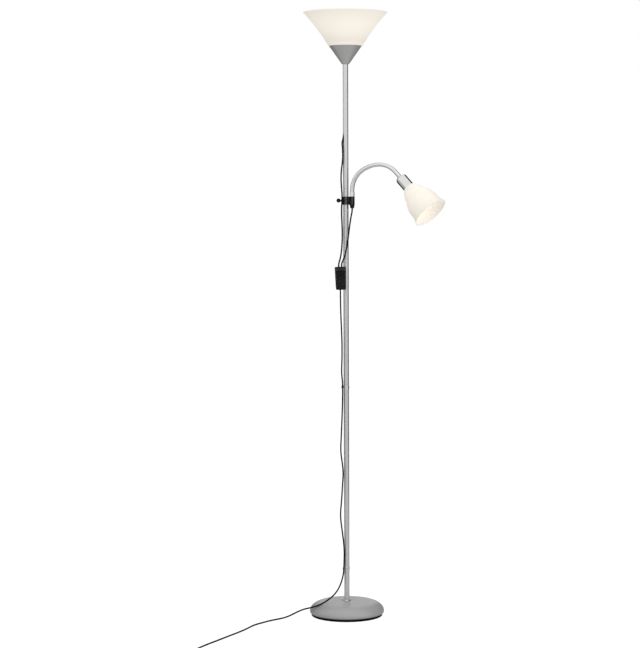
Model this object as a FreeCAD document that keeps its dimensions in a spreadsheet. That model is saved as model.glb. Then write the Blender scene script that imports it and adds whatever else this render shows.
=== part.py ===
import FreeCAD, Part
import math
import os

import Sketcher
from FreeCAD import Vector

# Torchiere floor lamp with a reading light on a bent flexible neck.
# Frame: origin on the floor under the pole, +Z up, +X to the right of the lamp's front, -Y its front.
# Millimetres and degrees.

DIMENSIONS = {
    # Base: foot, weight and painted cover
    "pad_radius": 96.7,
    "pad_thickness": 2,
    "foot_radius": 105.5,
    "foot_width": 8.5,
    "foot_height": 7,
    "cover_radius": 110.7,
    "cover_sheet": 1.2,
    "cover_lip_radius": 5,
    "cover_rim_radius": 21.5,
    "cover_shoulder_radius": 41,
    "cover_rim_angle": 45,
    "cover_crown_angle": 4.75,
    "dimple_radius": 14.5,
    "dimple_depth": 1,
    "dimple_edge": 2,
    "weight_edge_height": 10,
    "weight_rise": 5,
    "weight_slope": 14,
    "weight_boss_radius": 16,
    "nut_recess_radius": 14,
    "nut_recess_depth": 10,
    "stud_radius": 5,
    "stud_length": 58,
    "nut_across_flats": 17,
    "nut_height": 8,
    "nut_flange_radius": 12.5,
    "nut_flange_thickness": 2,
    "foot_ring_radius": 10,
    "foot_ring_height": 3,
    # Pole
    "pole_radius": 8,
    "pole_wall": 1,
    "pole_joint_one": 451,
    "pole_joint_two": 861,
    "pole_joint_three": 1271,
    "coupler_length": 40,
    "coupler_bore": 4.5,
    "insert_length": 22,
    # Upper head
    "cup_bottom_height": 1642.2,
    "cup_bottom_radius": 11,
    "cup_top_radius": 49,
    "cup_height": 54.2,
    "cup_sheet": 1,
    "cup_wall_across": 1.2,
    "cup_floor": 1.5,
    "cup_floor_inset": 0.6,
    "shade_bottom_radius": 50.8,
    "shade_height": 100.8,
    "shade_top_radius": 126,
    "shade_side_arc_radius": 560,
    "shade_wall": 2,
    "shade_wall_across": 2.48,
    "nipple_bore": 3.2,
    "nipple_length": 46,
    "head_nut_height": 5,
    "holder_radius": 19.5,
    "holder_depth": 38,
    "holder_flange_radius": 25,
    "holder_thread_radius": 20,
    "holder_thread_height": 9,
    "holder_bore": 13.6,
    "holder_floor": 8,
    "holder_ring_radius": 27,
    "holder_ring_height": 6,
    "bulb_cap_radius": 13.2,
    "bulb_cap_length": 25,
    "bulb_radius": 30,
    "bulb_length": 84,
    "bulb_neck_radius": 14.5,
    "bulb_neck_height": 9,
    "bulb_wall": 1,
    "bulb_round_angle": 20,
    # Arm clamp
    "clamp_bottom_height": 1223.3,
    "clamp_height": 23.7,
    "clamp_radius": 12,
    "liner_radius": 9.3,
    "liner_flange_radius": 11.2,
    "liner_flange_height": 0.8,
    "liner_slit": 1.5,
    "arm_direction": -32,
    "arm_offset": 22.2,
    "socket_radius": 7.6,
    "socket_tail_radius": 5.5,
    "socket_tail_height": 11.3,
    "socket_floor": 2,
    "web_width": 9,
    "boss_radius": 5,
    "boss_reach": 14.5,
    "insert_nut_radius": 4.15,
    "insert_nut_length": 4.6,
    "screw_radius": 2.92,
    "knob_radius": 6.3,
    "knob_reach": 25.7,
    "knob_flat": 5.2,
    # Flexible neck
    "neck_radius": 6.5,
    "neck_bore": 3.4,
    "neck_rise": 17.6,
    "neck_bend_radius_one": 68,
    "neck_bend_angle_one": 54,
    "neck_bend_radius_two": 114,
    "neck_bend_angle_two": 36,
    "neck_bend_radius_three": 79,
    "neck_bend_angle_three": 45.3,
    "neck_tip_length": 19.3,
    "neck_tip_inside": 9,
    "ferrule_radius": 7.15,
    "ferrule_height": 12,
    # Reading head, measured along its own axis from the top of its cup
    "head_cup_radius": 17.3,
    "head_cup_length": 44,
    "head_cup_shoulder": 10,
    "head_cup_sheet": 1,
    "small_holder_radius": 13.8,
    "small_holder_top": 12,
    "small_holder_flange": 15.6,
    "small_holder_flange_height": 1.6,
    "small_holder_thread": 7,
    "small_holder_bore": 7.4,
    "small_holder_floor": 6,
    "glass_wall": 2.2,
    "glass_neck_radius": 18,
    "glass_seat_radius": 14.4,
    "glass_waist_radius": 34.6,
    "glass_waist_length": 31.5,
    "glass_belly_radius": 47.8,
    "glass_belly_length": 68,
    "glass_rim_radius": 54.2,
    "glass_length": 103,
    "glass_shoulder_arc_radius": 62,
    "glass_side_arc_radius": 80,
    "glass_flare_arc_radius": 75,
    "small_ring_radius": 17,
    "small_ring_height": 4,
    "small_bulb_cap_radius": 7,
    "small_bulb_cap_length": 20,
    "small_bulb_radius": 22.5,
    "small_bulb_length": 54,
    "small_bulb_neck_radius": 8,
    "small_bulb_neck_height": 6,
    # Inline switch
    "switch_across": -16,
    "switch_front": -17,
    "switch_height": 1004,
    "switch_tilt": 1.7,
    "switch_top_width": 34.3,
    "switch_bottom_width": 30.2,
    "switch_length": 68.6,
    "switch_half_depth": 7.5,
    "switch_wall": 1.6,
    "switch_corner": 4,
    "switch_edge": 1.4,
    "rocker_spacing": 13,
    "rocker_width": 11.2,
    "rocker_length": 46.4,
    "rocker_offset": -1.5,
    "rocker_face": 8.9,
    "rocker_dip": 0.9,
    "rocker_edge": 3,
    "rocker_back": 3.2,
    "rocker_back_length": 20.9,
    "rocker_pivot": 4.9,
    "rocker_rest_angle": 4,
    "axle_radius": 1.2,
    "axle_length": 28,
    "axle_boss_width": 2,
    "axle_boss_height": 6,
    "terminal_width": 22,
    "terminal_length": 34,
    "terminal_depth": 3,
    "switch_screw_radius": 1.4,
    "switch_screw_high": 28,
    "switch_screw_low": -29.5,
    "screw_post_radius": 2.6,
    # Cable clips
    "clip_wall": 1.1,
    "clip_height": 8,
    "clip_reach": 12.1,
    "clip_slit": 3,
    "upper_clip_height": 674.8,
    "upper_clip_direction": 204,
    "lower_clip_height": 134.7,
    "lower_clip_direction": 222,
    # Cord, plug and fits
    "cord_radius": 2.3,
    "cord_lead": 9,
    "switch_left_entry": -4.8,
    "switch_right_entry": 4.1,
    "switch_lower_entry": -2.1,
    "outlet_slope_length": 31,
    "outlet_reach": 9.7,
    "outlet_height": 1416,
    "outlet_direction": 207,
    "outlet_clearance": 0.3,
    "outlet_side_start": 1,
    "grommet_wall": 1,
    "grommet_inside": 6.4,
    "grommet_outside": 9.4,
    "cord_floor_gap": 0.1,
    "coil_across": -455,
    "coil_front": -560,
    "coil_inner_radius": 20.5,
    "coil_pitch": 5.4,
    "coil_turns": 2,
    "coil_start_angle": 110,
    "plug_width": 27,
    "plug_tail_width": 12,
    "plug_length": 36,
    "plug_shoulder": 22.3,
    "plug_thickness": 13.7,
    "plug_corner": 3,
    "pin_radius": 2,
    "pin_length": 19,
    "pin_root_radius": 2.3,
    "pin_spacing": 18.6,
    "pin_seat": 6,
    "fit_clearance": 0.05,
    "running_clearance": 0.1,
    "joint_clearance": 0.3,
}

# Free cord: points chosen by hand, X, Y, Z.
UPPER_CORD = [
    (-9.9, -6.2, 1397), (-8.5, -7.6, 1374), (-9.4, -7.4, 1352), (-12.9, -6.6, 1328),
    (-14.4, -7.4, 1302), (-13.1, -8.8, 1278), (-10.9, -10.7, 1252), (-11.9, -10.6, 1226),
    (-13.0, -10.4, 1202), (-12.0, -10.6, 1174), (-10.7, -11.0, 1144), (-11.1, -11.4, 1113),
    (-13.3, -13.0, 1083), (-17.8, -15.4, 1059),
]
READING_CORD = [
    (18.83, -11.76, 1203), (15.2, -12.6, 1187), (11.6, -13.4, 1163), (8.0, -13.4, 1136),
    (4.9, -13.2, 1110), (0.6, -13.4, 1086), (-5.6, -14.8, 1065), (-10.2, -16.2, 1054),
]
HANGING_CORD = [
    (-16.9, -16.4, 951), (-16.4, -13.2, 926), (-16.0, -11.8, 897), (-14.2, -11.0, 857),
    (-12.5, -10.4, 808), (-12.7, -9.4, 762), (-14.5, -7.6, 722), (-11.2, -5.0, 694),
    (-11.0, -4.9, 664), (-11.8, -7.0, 622), (-13.6, -8.4, 578), (-15.6, -8.6, 530),
    (-17.9, -8.2, 490), (-13.0, -9.4, 455), (-9.6, -10.2, 424), (-12.4, -9.6, 386),
    (-15.0, -9.0, 342), (-19.6, -8.4, 296), (-12.9, -8.6, 246), (-7.2, -9.0, 198),
    (-8.2, -8.0, 154), (-9.6, -8.2, 126), (-14.6, -11.2, 104), (-23.8, -16.6, 81.5),
    (-37.2, -24.0, 64), (-58.5, -36.5, 48.9), (-80.5, -46.5, 38.6), (-104.0, -50.0, 31.8),
    (-129.0, -48.0, 26.6), (-152.0, -47.4, 16.0), (-172.0, -49.6, 6.2), (-192.0, -61.0, 2.4),
]
FLOOR_CORD = [
    (-222, -86), (-247, -117), (-272, -150), (-289, -197), (-311, -243), (-338, -292),
    (-365, -344), (-390, -389), (-417, -446), (-428, -500),
]
# Steps from the end of the coil, along and beside the cord's way there
TAIL_STEPS = [(30, -3), (48, -8), (64, -16)]


class Size:
    """A length or angle, with the expression that gives it from the sheet."""

    def __init__(self, value, text):
        self.value = float(value)
        self.text = text

    def __add__(self, other):
        other = as_size(other)
        return Size(self.value + other.value, f"({self.text} + {other.text})")

    def __sub__(self, other):
        other = as_size(other)
        return Size(self.value - other.value, f"({self.text} - {other.text})")

    def __mul__(self, other):
        other = as_size(other)
        return Size(self.value * other.value, f"({self.text} * {other.text})")

    def __truediv__(self, other):
        other = as_size(other)
        return Size(self.value / other.value, f"({self.text} / {other.text})")

    def __neg__(self):
        return Size(-self.value, f"(0 - {self.text})")

    def __radd__(self, other):
        return as_size(other) + self

    def __rsub__(self, other):
        return as_size(other) - self

    def __rmul__(self, other):
        return as_size(other) * self


def as_size(value):
    return value if isinstance(value, Size) else Size(value, f"({float(value)!r})")


def sine(angle):
    angle = as_size(angle)
    return Size(math.sin(math.radians(angle.value)), f"sin({angle.text})")


def cosine(angle):
    angle = as_size(angle)
    return Size(math.cos(math.radians(angle.value)), f"cos({angle.text})")


def root(square):
    return Size(math.sqrt(square.value), f"sqrt({square.text})")


class Names:
    """Holds one Size for each cell of the sheet."""


doc = FreeCAD.newDocument("TorchiereLamp")
sheet = doc.addObject("Spreadsheet::Sheet", "Dimensions")
size = Names()
for row, (alias, number) in enumerate(DIMENSIONS.items(), 1):
    sheet.set(f"A{row}", alias)
    sheet.set(f"B{row}", str(number))
    sheet.setAlias(f"B{row}", alias)
doc.recompute()
for alias in DIMENSIONS:
    setattr(size, alias, Size(sheet.getPropertyByName(alias), f"Dimensions.{alias}"))

nodes = []


def bind(thing, **properties):
    for name, value in properties.items():
        thing.setExpression(name, as_size(value).text)


def vector_text(point):
    return "vector(" + "; ".join(as_size(part).text for part in point) + ")"


def frame_text(point=(0, 0, 0), axis=(0, 0, 1), angle=0):
    return f"placement({vector_text(point)}; rotation({vector_text(axis)}; {as_size(angle).text}))"


def place(thing, *frames):
    """Sets a Placement from one frame, or from frames that stand on each other."""
    thing.setExpression("Placement", " * ".join(frames))
    return thing


def node(thing):
    thing.Label = thing.Name
    nodes.append(thing)
    return thing


def primitive(kind, name, frame=None, **properties):
    thing = doc.addObject(f"Part::{kind}", name)
    bind(thing, **properties)
    if frame:
        place(thing, frame)
    return thing


def cylinder(name, radius, height, frame=None):
    return primitive("Cylinder", name, frame, Radius=radius, Height=height)


def box(name, length, width, height, frame=None):
    return primitive("Box", name, frame, Length=length, Width=width, Height=height)


def cut(name, base, *tools):
    tool = tools[0] if len(tools) == 1 else fuse(f"{name}_hollow", *tools)
    thing = doc.addObject("Part::Cut", name)
    thing.Base = base
    thing.Tool = tool
    return thing


def fuse(name, *things):
    thing = doc.addObject("Part::MultiFuse", name)
    thing.Shapes = list(things)
    return thing


def tube(name, radius, bore, height, frame=None):
    """A round tube that stands on its frame."""
    outside = cylinder(f"{name}_outside", radius, height)
    inside = cylinder(f"{name}_inside", bore, height)
    thing = cut(name, outside, inside)
    return place(thing, frame) if frame else thing


def origin_plane(body, role):
    return next(plane for plane in body.Origin.OriginFeatures if plane.Role == role)


def arc_between(start, end, radius):
    """The arc from start to end, with its centre left of the way there, or right for a negative radius."""
    chord = end - start
    middle = (start + end) * 0.5
    left = Vector(-chord.y, chord.x, 0).normalize()
    rise = math.sqrt(max(radius * radius - chord.Length * chord.Length / 4, 0))
    centre = middle + left * math.copysign(rise, radius)
    apex = centre + (middle - centre).normalize() * abs(radius)
    return Part.Arc(start, apex, end).toShape().Curve, centre


def outline_sketch(body, name, outline, role="XZ_Plane", height=None):
    """A closed outline of (across, up) points; a third value is the radius of the arc to the next point."""
    sketch = body.newObject("Sketcher::SketchObject", name)
    sketch.AttachmentSupport = [(origin_plane(body, role), "")]
    sketch.MapMode = "FlatFace"
    if height is not None:
        sketch.setExpression("AttachmentOffset.Base.z", as_size(height).text)
    corners = [(as_size(row[0]), as_size(row[1])) for row in outline]
    bends = [as_size(row[2]) if len(row) > 2 else None for row in outline]
    points = [Vector(across.value, up.value, 0) for across, up in corners]
    first_ends = []
    last_ends = []
    for index, (start, bend) in enumerate(zip(points, bends)):
        end = points[(index + 1) % len(points)]
        if bend is None:
            sketch.addGeometry(Part.LineSegment(start, end))
            first_ends.append(1)
            last_ends.append(2)
            continue
        circle, centre = arc_between(start, end, bend.value)
        from_angle = math.atan2(start.y - centre.y, start.x - centre.x)
        to_angle = math.atan2(end.y - centre.y, end.x - centre.x)
        forward = bend.value > 0
        if not forward:
            from_angle, to_angle = to_angle, from_angle
        ring = Part.Circle(centre, Vector(0, 0, 1), abs(bend.value))
        sketch.addGeometry(Part.ArcOfCircle(ring, from_angle, to_angle))
        first_ends.append(1 if forward else 2)
        last_ends.append(2 if forward else 1)
    for index, (across, up) in enumerate(corners):
        following = (index + 1) % len(corners)
        sketch.addConstraint(
            Sketcher.Constraint("Coincident", index, last_ends[index], following, first_ends[following])
        )
        for kind, value in (("DistanceX", across), ("DistanceY", up)):
            number = sketch.addConstraint(
                Sketcher.Constraint(kind, -1, 1, index, first_ends[index], value.value)
            )
            sketch.setExpression(f"Constraints[{number}]", value.text)
        if bends[index] is not None:
            bend = bends[index]
            number = sketch.addConstraint(Sketcher.Constraint("Radius", index, abs(bend.value)))
            sketch.setExpression(f"Constraints[{number}]", bend.text if bend.value > 0 else (-bend).text)
    return sketch


def turned(name, outline):
    """A piece turned about its own Z axis from a closed (radius, height) outline."""
    body = doc.addObject("PartDesign::Body", name)
    sketch = outline_sketch(body, f"{name}_profile", outline)
    turn = body.newObject("PartDesign::Revolution", f"{name}_turn")
    turn.Profile = sketch
    turn.ReferenceAxis = (sketch, ["V_Axis"])
    turn.Angle = 360
    return body


def padded(name, outline, depth, role="XZ_Plane", height=None, reverse=False):
    """A plate: the outline carried depth away from its plane."""
    body = doc.addObject("PartDesign::Body", name)
    sketch = outline_sketch(body, f"{name}_outline", outline, role, height)
    pad = body.newObject("PartDesign::Pad", f"{name}_pad")
    pad.Profile = sketch
    pad.setExpression("Length", as_size(depth).text)
    pad.Reversed = reverse
    return body


def pocketed(body, name, outline, depth, role="XZ_Plane", height=None, reverse=False):
    """Cuts the outline into the body, depth deep, and checks that it took material away."""
    doc.recompute()
    before = body.Shape.Volume
    sketch = outline_sketch(body, f"{name}_outline", outline, role, height)
    pocket = body.newObject("PartDesign::Pocket", name)
    pocket.Profile = sketch
    pocket.setExpression("Length", as_size(depth).text)
    pocket.Reversed = reverse
    doc.recompute()
    if body.Shape.Volume > before - 0.1:
        raise RuntimeError(f"{name} cuts nothing")
    return body


def rounded(body, name, radius, wanted):
    """Rounds the edges of the body that wanted() picks."""
    doc.recompute()
    tip = body.Tip
    picked = [f"Edge{n}" for n, edge in enumerate(tip.Shape.Edges, 1) if wanted(edge)]
    fillet = body.newObject("PartDesign::Fillet", name)
    fillet.Base = (tip, picked)
    fillet.setExpression("Radius", as_size(radius).text)
    return body


def runs_along(edge, axis):
    span = edge.Vertexes[-1].Point - edge.Vertexes[0].Point
    return span.Length > 1e-6 and abs(span.normalize().dot(axis)) > 0.999


def lies_at(edge, axis, level):
    return all(abs(vertex.Point.dot(axis) - level) < 1e-4 for vertex in edge.Vertexes)


# ---------------------------------------------------------------- base

def base_levels():
    """Centres and meeting points of the cover's crown, shoulder and rim arcs."""
    widest = size.foot_height + size.cover_lip_radius
    rim = (size.cover_radius - size.cover_rim_radius, widest)
    rim_sine, rim_cosine = sine(size.cover_rim_angle), cosine(size.cover_rim_angle)
    crown_sine, crown_cosine = sine(size.cover_crown_angle), cosine(size.cover_crown_angle)
    inward = size.cover_rim_radius - size.cover_shoulder_radius
    shoulder = (rim[0] + inward * rim_sine, rim[1] + inward * rim_cosine)
    crown_radius = shoulder[0] / crown_sine + size.cover_shoulder_radius
    crown = shoulder[1] + (size.cover_shoulder_radius - crown_radius) * crown_cosine
    return {
        "widest": widest,
        "rim": rim,
        "shoulder": shoulder,
        "crown": (as_size(0), crown),
        "crown_radius": crown_radius,
        "rim_way": (rim_sine, rim_cosine),
        "crown_way": (crown_sine, crown_cosine),
    }


LEVELS = base_levels()


def along(centre, radius, way):
    return centre[0] + radius * way[0], centre[1] + radius * way[1]


def crown_height(radius, sheet_depth=0):
    """Height of the cover's crown, or of a layer below it, at a radius."""
    reach = LEVELS["crown_radius"] - sheet_depth
    return LEVELS["crown"][1] + root(reach * reach - radius * radius)


dimple_floor = crown_height(size.dimple_radius) - size.dimple_depth
dimple_under = dimple_floor - size.cover_sheet


def make_base():
    stud_hole = size.stud_radius + size.joint_clearance
    sheet_depth = size.cover_sheet
    widest, rim, shoulder = LEVELS["widest"], LEVELS["rim"], LEVELS["shoulder"]
    crown_radius = LEVELS["crown_radius"]
    slope = size.dimple_edge
    outer_crown = along(shoulder, size.cover_shoulder_radius, LEVELS["crown_way"])
    outer_rim = along(rim, size.cover_rim_radius, LEVELS["rim_way"])
    inner_crown = along(shoulder, size.cover_shoulder_radius - sheet_depth, LEVELS["crown_way"])
    inner_rim = along(rim, size.cover_rim_radius - sheet_depth, LEVELS["rim_way"])
    lip_centre = size.cover_radius - size.cover_lip_radius
    outline = [
        (stud_hole, dimple_floor),
        (size.dimple_radius - slope, dimple_floor),
        (size.dimple_radius, crown_height(size.dimple_radius), -crown_radius),
        (*outer_crown, -size.cover_shoulder_radius),
        (*outer_rim, -size.cover_rim_radius),
        (size.cover_radius, widest, -size.cover_lip_radius),
        (lip_centre, size.foot_height),
        (lip_centre - sheet_depth, size.foot_height),
        (lip_centre - sheet_depth, size.foot_height + sheet_depth),
        (lip_centre, size.foot_height + sheet_depth, size.cover_lip_radius - sheet_depth),
        (size.cover_radius - sheet_depth, widest, size.cover_rim_radius - sheet_depth),
        (*inner_rim, size.cover_shoulder_radius - sheet_depth),
        (*inner_crown, crown_radius - sheet_depth),
        (size.dimple_radius + sheet_depth, crown_height(size.dimple_radius + sheet_depth, sheet_depth)),
        (size.dimple_radius - slope + sheet_depth, dimple_under),
        (stud_hole, dimple_under),
    ]
    node(turned("base_cover", outline))

    pad = cylinder("base_pad", size.pad_radius, size.pad_thickness)
    node(pad)
    node(tube("foot_ring", size.foot_radius, size.foot_radius - size.foot_width, size.foot_height))

    weight_radius = size.pad_radius
    bottom = size.pad_thickness
    recess_top = bottom + size.nut_recess_depth
    edge_top = bottom + size.weight_edge_height
    slope_top = edge_top + size.weight_rise
    weight = [
        (stud_hole, recess_top),
        (size.nut_recess_radius, recess_top),
        (size.nut_recess_radius, bottom),
        (weight_radius, bottom),
        (weight_radius, edge_top),
        (weight_radius - size.weight_slope, slope_top),
        (size.weight_boss_radius + size.weight_slope, slope_top),
        (size.weight_boss_radius, dimple_under),
        (stud_hole, dimple_under),
    ]
    node(turned("base_weight", weight))

    nut_bottom = recess_top - size.nut_height
    flange = cylinder(
        "base_nut_flange", size.nut_flange_radius, size.nut_flange_thickness,
        frame_text((0, 0, size.nut_height - size.nut_flange_thickness)),
    )
    node(hex_nut("base_nut", size.nut_height, nut_bottom, flange))
    node(cylinder("pole_stud", size.stud_radius, size.stud_length, frame_text((0, 0, nut_bottom))))
    ring_bore = size.pole_radius + size.fit_clearance
    node(turned("pole_foot_ring", [
        (ring_bore, dimple_floor),
        (size.foot_ring_radius, dimple_floor),
        (size.foot_ring_radius, dimple_floor + size.foot_ring_height / 2, size.foot_ring_height / 2),
        (size.foot_ring_radius - size.foot_ring_height / 2, dimple_floor + size.foot_ring_height),
        (ring_bore, dimple_floor + size.foot_ring_height),
    ]))


def hex_nut(name, height, bottom, flange=None):
    blank = primitive(
        "Prism", f"{name}_hexagon", Circumradius=size.nut_across_flats / 2 / cosine(30), Height=height
    )
    blank.Polygon = 6
    if flange:
        blank = fuse(f"{name}_blank", blank, flange)
    hole = cylinder(f"{name}_hole", size.stud_radius + size.fit_clearance, height)
    return place(cut(name, blank, hole), frame_text((0, 0, bottom)))


# ---------------------------------------------------------------- pole

def outlet_frame():
    """Stands at the cord's outlet, with Z along the cord, out of the pole and down."""
    slope = Size(
        math.degrees(math.atan2(size.outlet_reach.value, size.outlet_slope_length.value)),
        f"(atan({size.outlet_reach.text} / {size.outlet_slope_length.text}) / 1 deg)",
    )
    turn = frame_text(angle=size.outlet_direction)
    end = frame_text((size.outlet_reach, 0, size.outlet_height), (0, 1, 0), 180 - slope)
    return f"{turn} * {end}"


def make_pole():
    bore = size.pole_radius - size.pole_wall
    fitting = bore - size.fit_clearance
    joints = [
        dimple_floor, size.pole_joint_one, size.pole_joint_two, size.pole_joint_three,
        size.cup_bottom_height,
    ]
    sections = len(joints) - 1
    for number in range(1, sections + 1):
        bottom, top = joints[number - 1], joints[number]
        frame = frame_text((0, 0, bottom))
        if number < sections:
            node(tube(f"pole_section_{number}", size.pole_radius, bore, top - bottom, frame))
            node(tube(
                f"pole_coupler_{number}", fitting, size.coupler_bore, size.coupler_length,
                frame_text((0, 0, top - size.coupler_length / 2)),
            ))
            continue
        outside = cylinder("pole_top_outside", size.pole_radius, top - bottom, frame)
        inside = cylinder("pole_top_bore", bore, top - bottom, frame)
        slot = cylinder(
            "pole_slot", grommet_radius() + size.fit_clearance, size.outlet_slope_length * 2
        )
        place(slot, outlet_frame(), frame_text((0, 0, -size.outlet_slope_length)))
        node(cut(f"pole_section_{number}", outside, inside, pole_half(slot)))

    insert_bore = size.stud_radius + size.fit_clearance
    node(tube(
        "pole_bottom_insert", fitting, insert_bore, size.insert_length,
        frame_text((0, 0, dimple_floor)),
    ))
    node(tube(
        "pole_top_insert", fitting, insert_bore, size.insert_length,
        frame_text((0, 0, size.cup_bottom_height - size.insert_length)),
    ))

    lining = cylinder("grommet_blank", grommet_radius(), size.outlet_slope_length * 2)
    place(lining, outlet_frame(), frame_text((0, 0, -size.outlet_slope_length)))
    passage = cylinder(
        "grommet_passage", size.cord_radius + size.fit_clearance, size.outlet_slope_length * 2
    )
    place(passage, outlet_frame(), frame_text((0, 0, -size.outlet_slope_length)))
    band = tube(
        "grommet_band", size.grommet_outside, size.grommet_inside, size.outlet_slope_length * 2,
        frame_text((0, 0, size.outlet_height - size.outlet_slope_length)),
    )
    ring = doc.addObject("Part::Common", "grommet_ring")
    ring.Base = pole_half(lining)
    ring.Tool = band
    node(cut("cord_grommet", ring, passage))


def grommet_radius():
    return size.cord_radius + size.grommet_wall


def pole_half(slanted):
    """Keeps the part of a slanted cylinder on the outlet's side of the pole's axis."""
    reach = size.outlet_slope_length * 2
    bottom = size.outlet_height - size.outlet_slope_length
    side = box(
        f"{slanted.Name}_side", size.pole_radius * 3, size.pole_radius * 4, reach,
        f"{frame_text(angle=size.outlet_direction)}"
        f" * {frame_text((size.outlet_side_start, -2 * size.pole_radius, bottom))}",
    )
    kept = doc.addObject("Part::Common", f"{slanted.Name}_kept")
    kept.Base = slanted
    kept.Tool = side
    return kept


# ---------------------------------------------------------------- upper head

def make_upper_head():
    stud_hole = size.stud_radius + size.joint_clearance
    floor_top = size.cup_bottom_height + size.cup_floor
    seat = size.cup_bottom_height + size.cup_height
    node(turned("upper_cup", [
        (stud_hole, size.cup_bottom_height),
        (size.cup_bottom_radius, size.cup_bottom_height),
        (size.cup_top_radius, seat),
        (size.cup_top_radius - size.cup_wall_across, seat),
        (size.cup_bottom_radius - size.cup_floor_inset, floor_top),
        (stud_hole, floor_top),
    ]))

    nipple_bottom = size.cup_bottom_height - size.insert_length
    node(tube(
        "upper_nipple", size.stud_radius, size.nipple_bore, size.nipple_length,
        frame_text((0, 0, nipple_bottom)),
    ))
    node(hex_nut("upper_nut", size.head_nut_height, floor_top))

    disc_hole = size.holder_thread_radius + size.joint_clearance
    disc_top = seat + size.shade_wall
    rim_top = seat + size.shade_height
    rim_radius = size.shade_wall / 2
    node(turned("upper_shade", [
        (disc_hole, seat),
        (size.shade_bottom_radius, seat, -size.shade_side_arc_radius),
        (size.shade_top_radius, rim_top - rim_radius, rim_radius),
        (size.shade_top_radius - rim_radius, rim_top),
        (
            size.shade_top_radius - size.shade_wall_across, rim_top - rim_radius,
            size.shade_side_arc_radius + size.shade_wall,
        ),
        (size.shade_bottom_radius - rim_radius, disc_top),
        (disc_hole, disc_top),
    ]))

    holder_bottom = seat - size.holder_depth
    holder_top = seat + size.holder_thread_height
    nipple_hole = size.stud_radius + size.fit_clearance
    node(turned("upper_lampholder", [
        (nipple_hole, holder_bottom),
        (size.holder_radius, holder_bottom),
        (size.holder_radius, seat - size.shade_wall),
        (size.holder_flange_radius, seat - size.shade_wall),
        (size.holder_flange_radius, seat),
        (size.holder_thread_radius, seat),
        (size.holder_thread_radius, holder_top),
        (size.holder_bore, holder_top),
        (size.holder_bore, holder_bottom + size.holder_floor),
        (nipple_hole, holder_bottom + size.holder_floor),
    ]))
    node(tube(
        "upper_holder_ring", size.holder_ring_radius, size.holder_thread_radius + size.fit_clearance,
        size.holder_ring_height, frame_text((0, 0, disc_top)),
    ))
    cap = (size.bulb_cap_radius, size.bulb_cap_length)
    neck = (size.bulb_neck_radius, size.bulb_neck_height)
    make_bulb("upper_bulb", cap, neck, size.bulb_radius, size.bulb_length, frame_text((0, 0, holder_top)))


def make_bulb(name, cap, neck, radius, length, frame):
    """A bulb on its cap: the cap goes down from the frame and the glass stands on it."""
    cap_radius, cap_length = cap
    neck_radius, neck_height = neck
    tip = cap_radius / 2
    shell = turned(f"{name}_cap", [
        (0, -cap_length),
        (tip, -cap_length),
        (cap_radius, tip - cap_length),
        (cap_radius, 0),
        (0, 0),
    ])
    node(place(shell, frame))
    wall = size.bulb_wall
    inner = radius - wall
    centre = length - radius
    across, down = cosine(size.bulb_round_angle), sine(size.bulb_round_angle)
    glass = turned(f"{name}_glass", [
        (0, 0),
        (cap_radius, 0),
        (neck_radius, neck_height),
        (radius * across, centre - radius * down, radius),
        (0, length),
        (0, length - wall, -inner),
        (inner * across, centre - inner * down),
        (neck_radius - wall, neck_height),
        (cap_radius - wall, wall),
        (0, wall),
    ])
    node(place(glass, frame))


# ---------------------------------------------------------------- arm clamp

def clamp_frame(*more):
    return " * ".join([frame_text(angle=size.arm_direction), *more])


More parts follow.
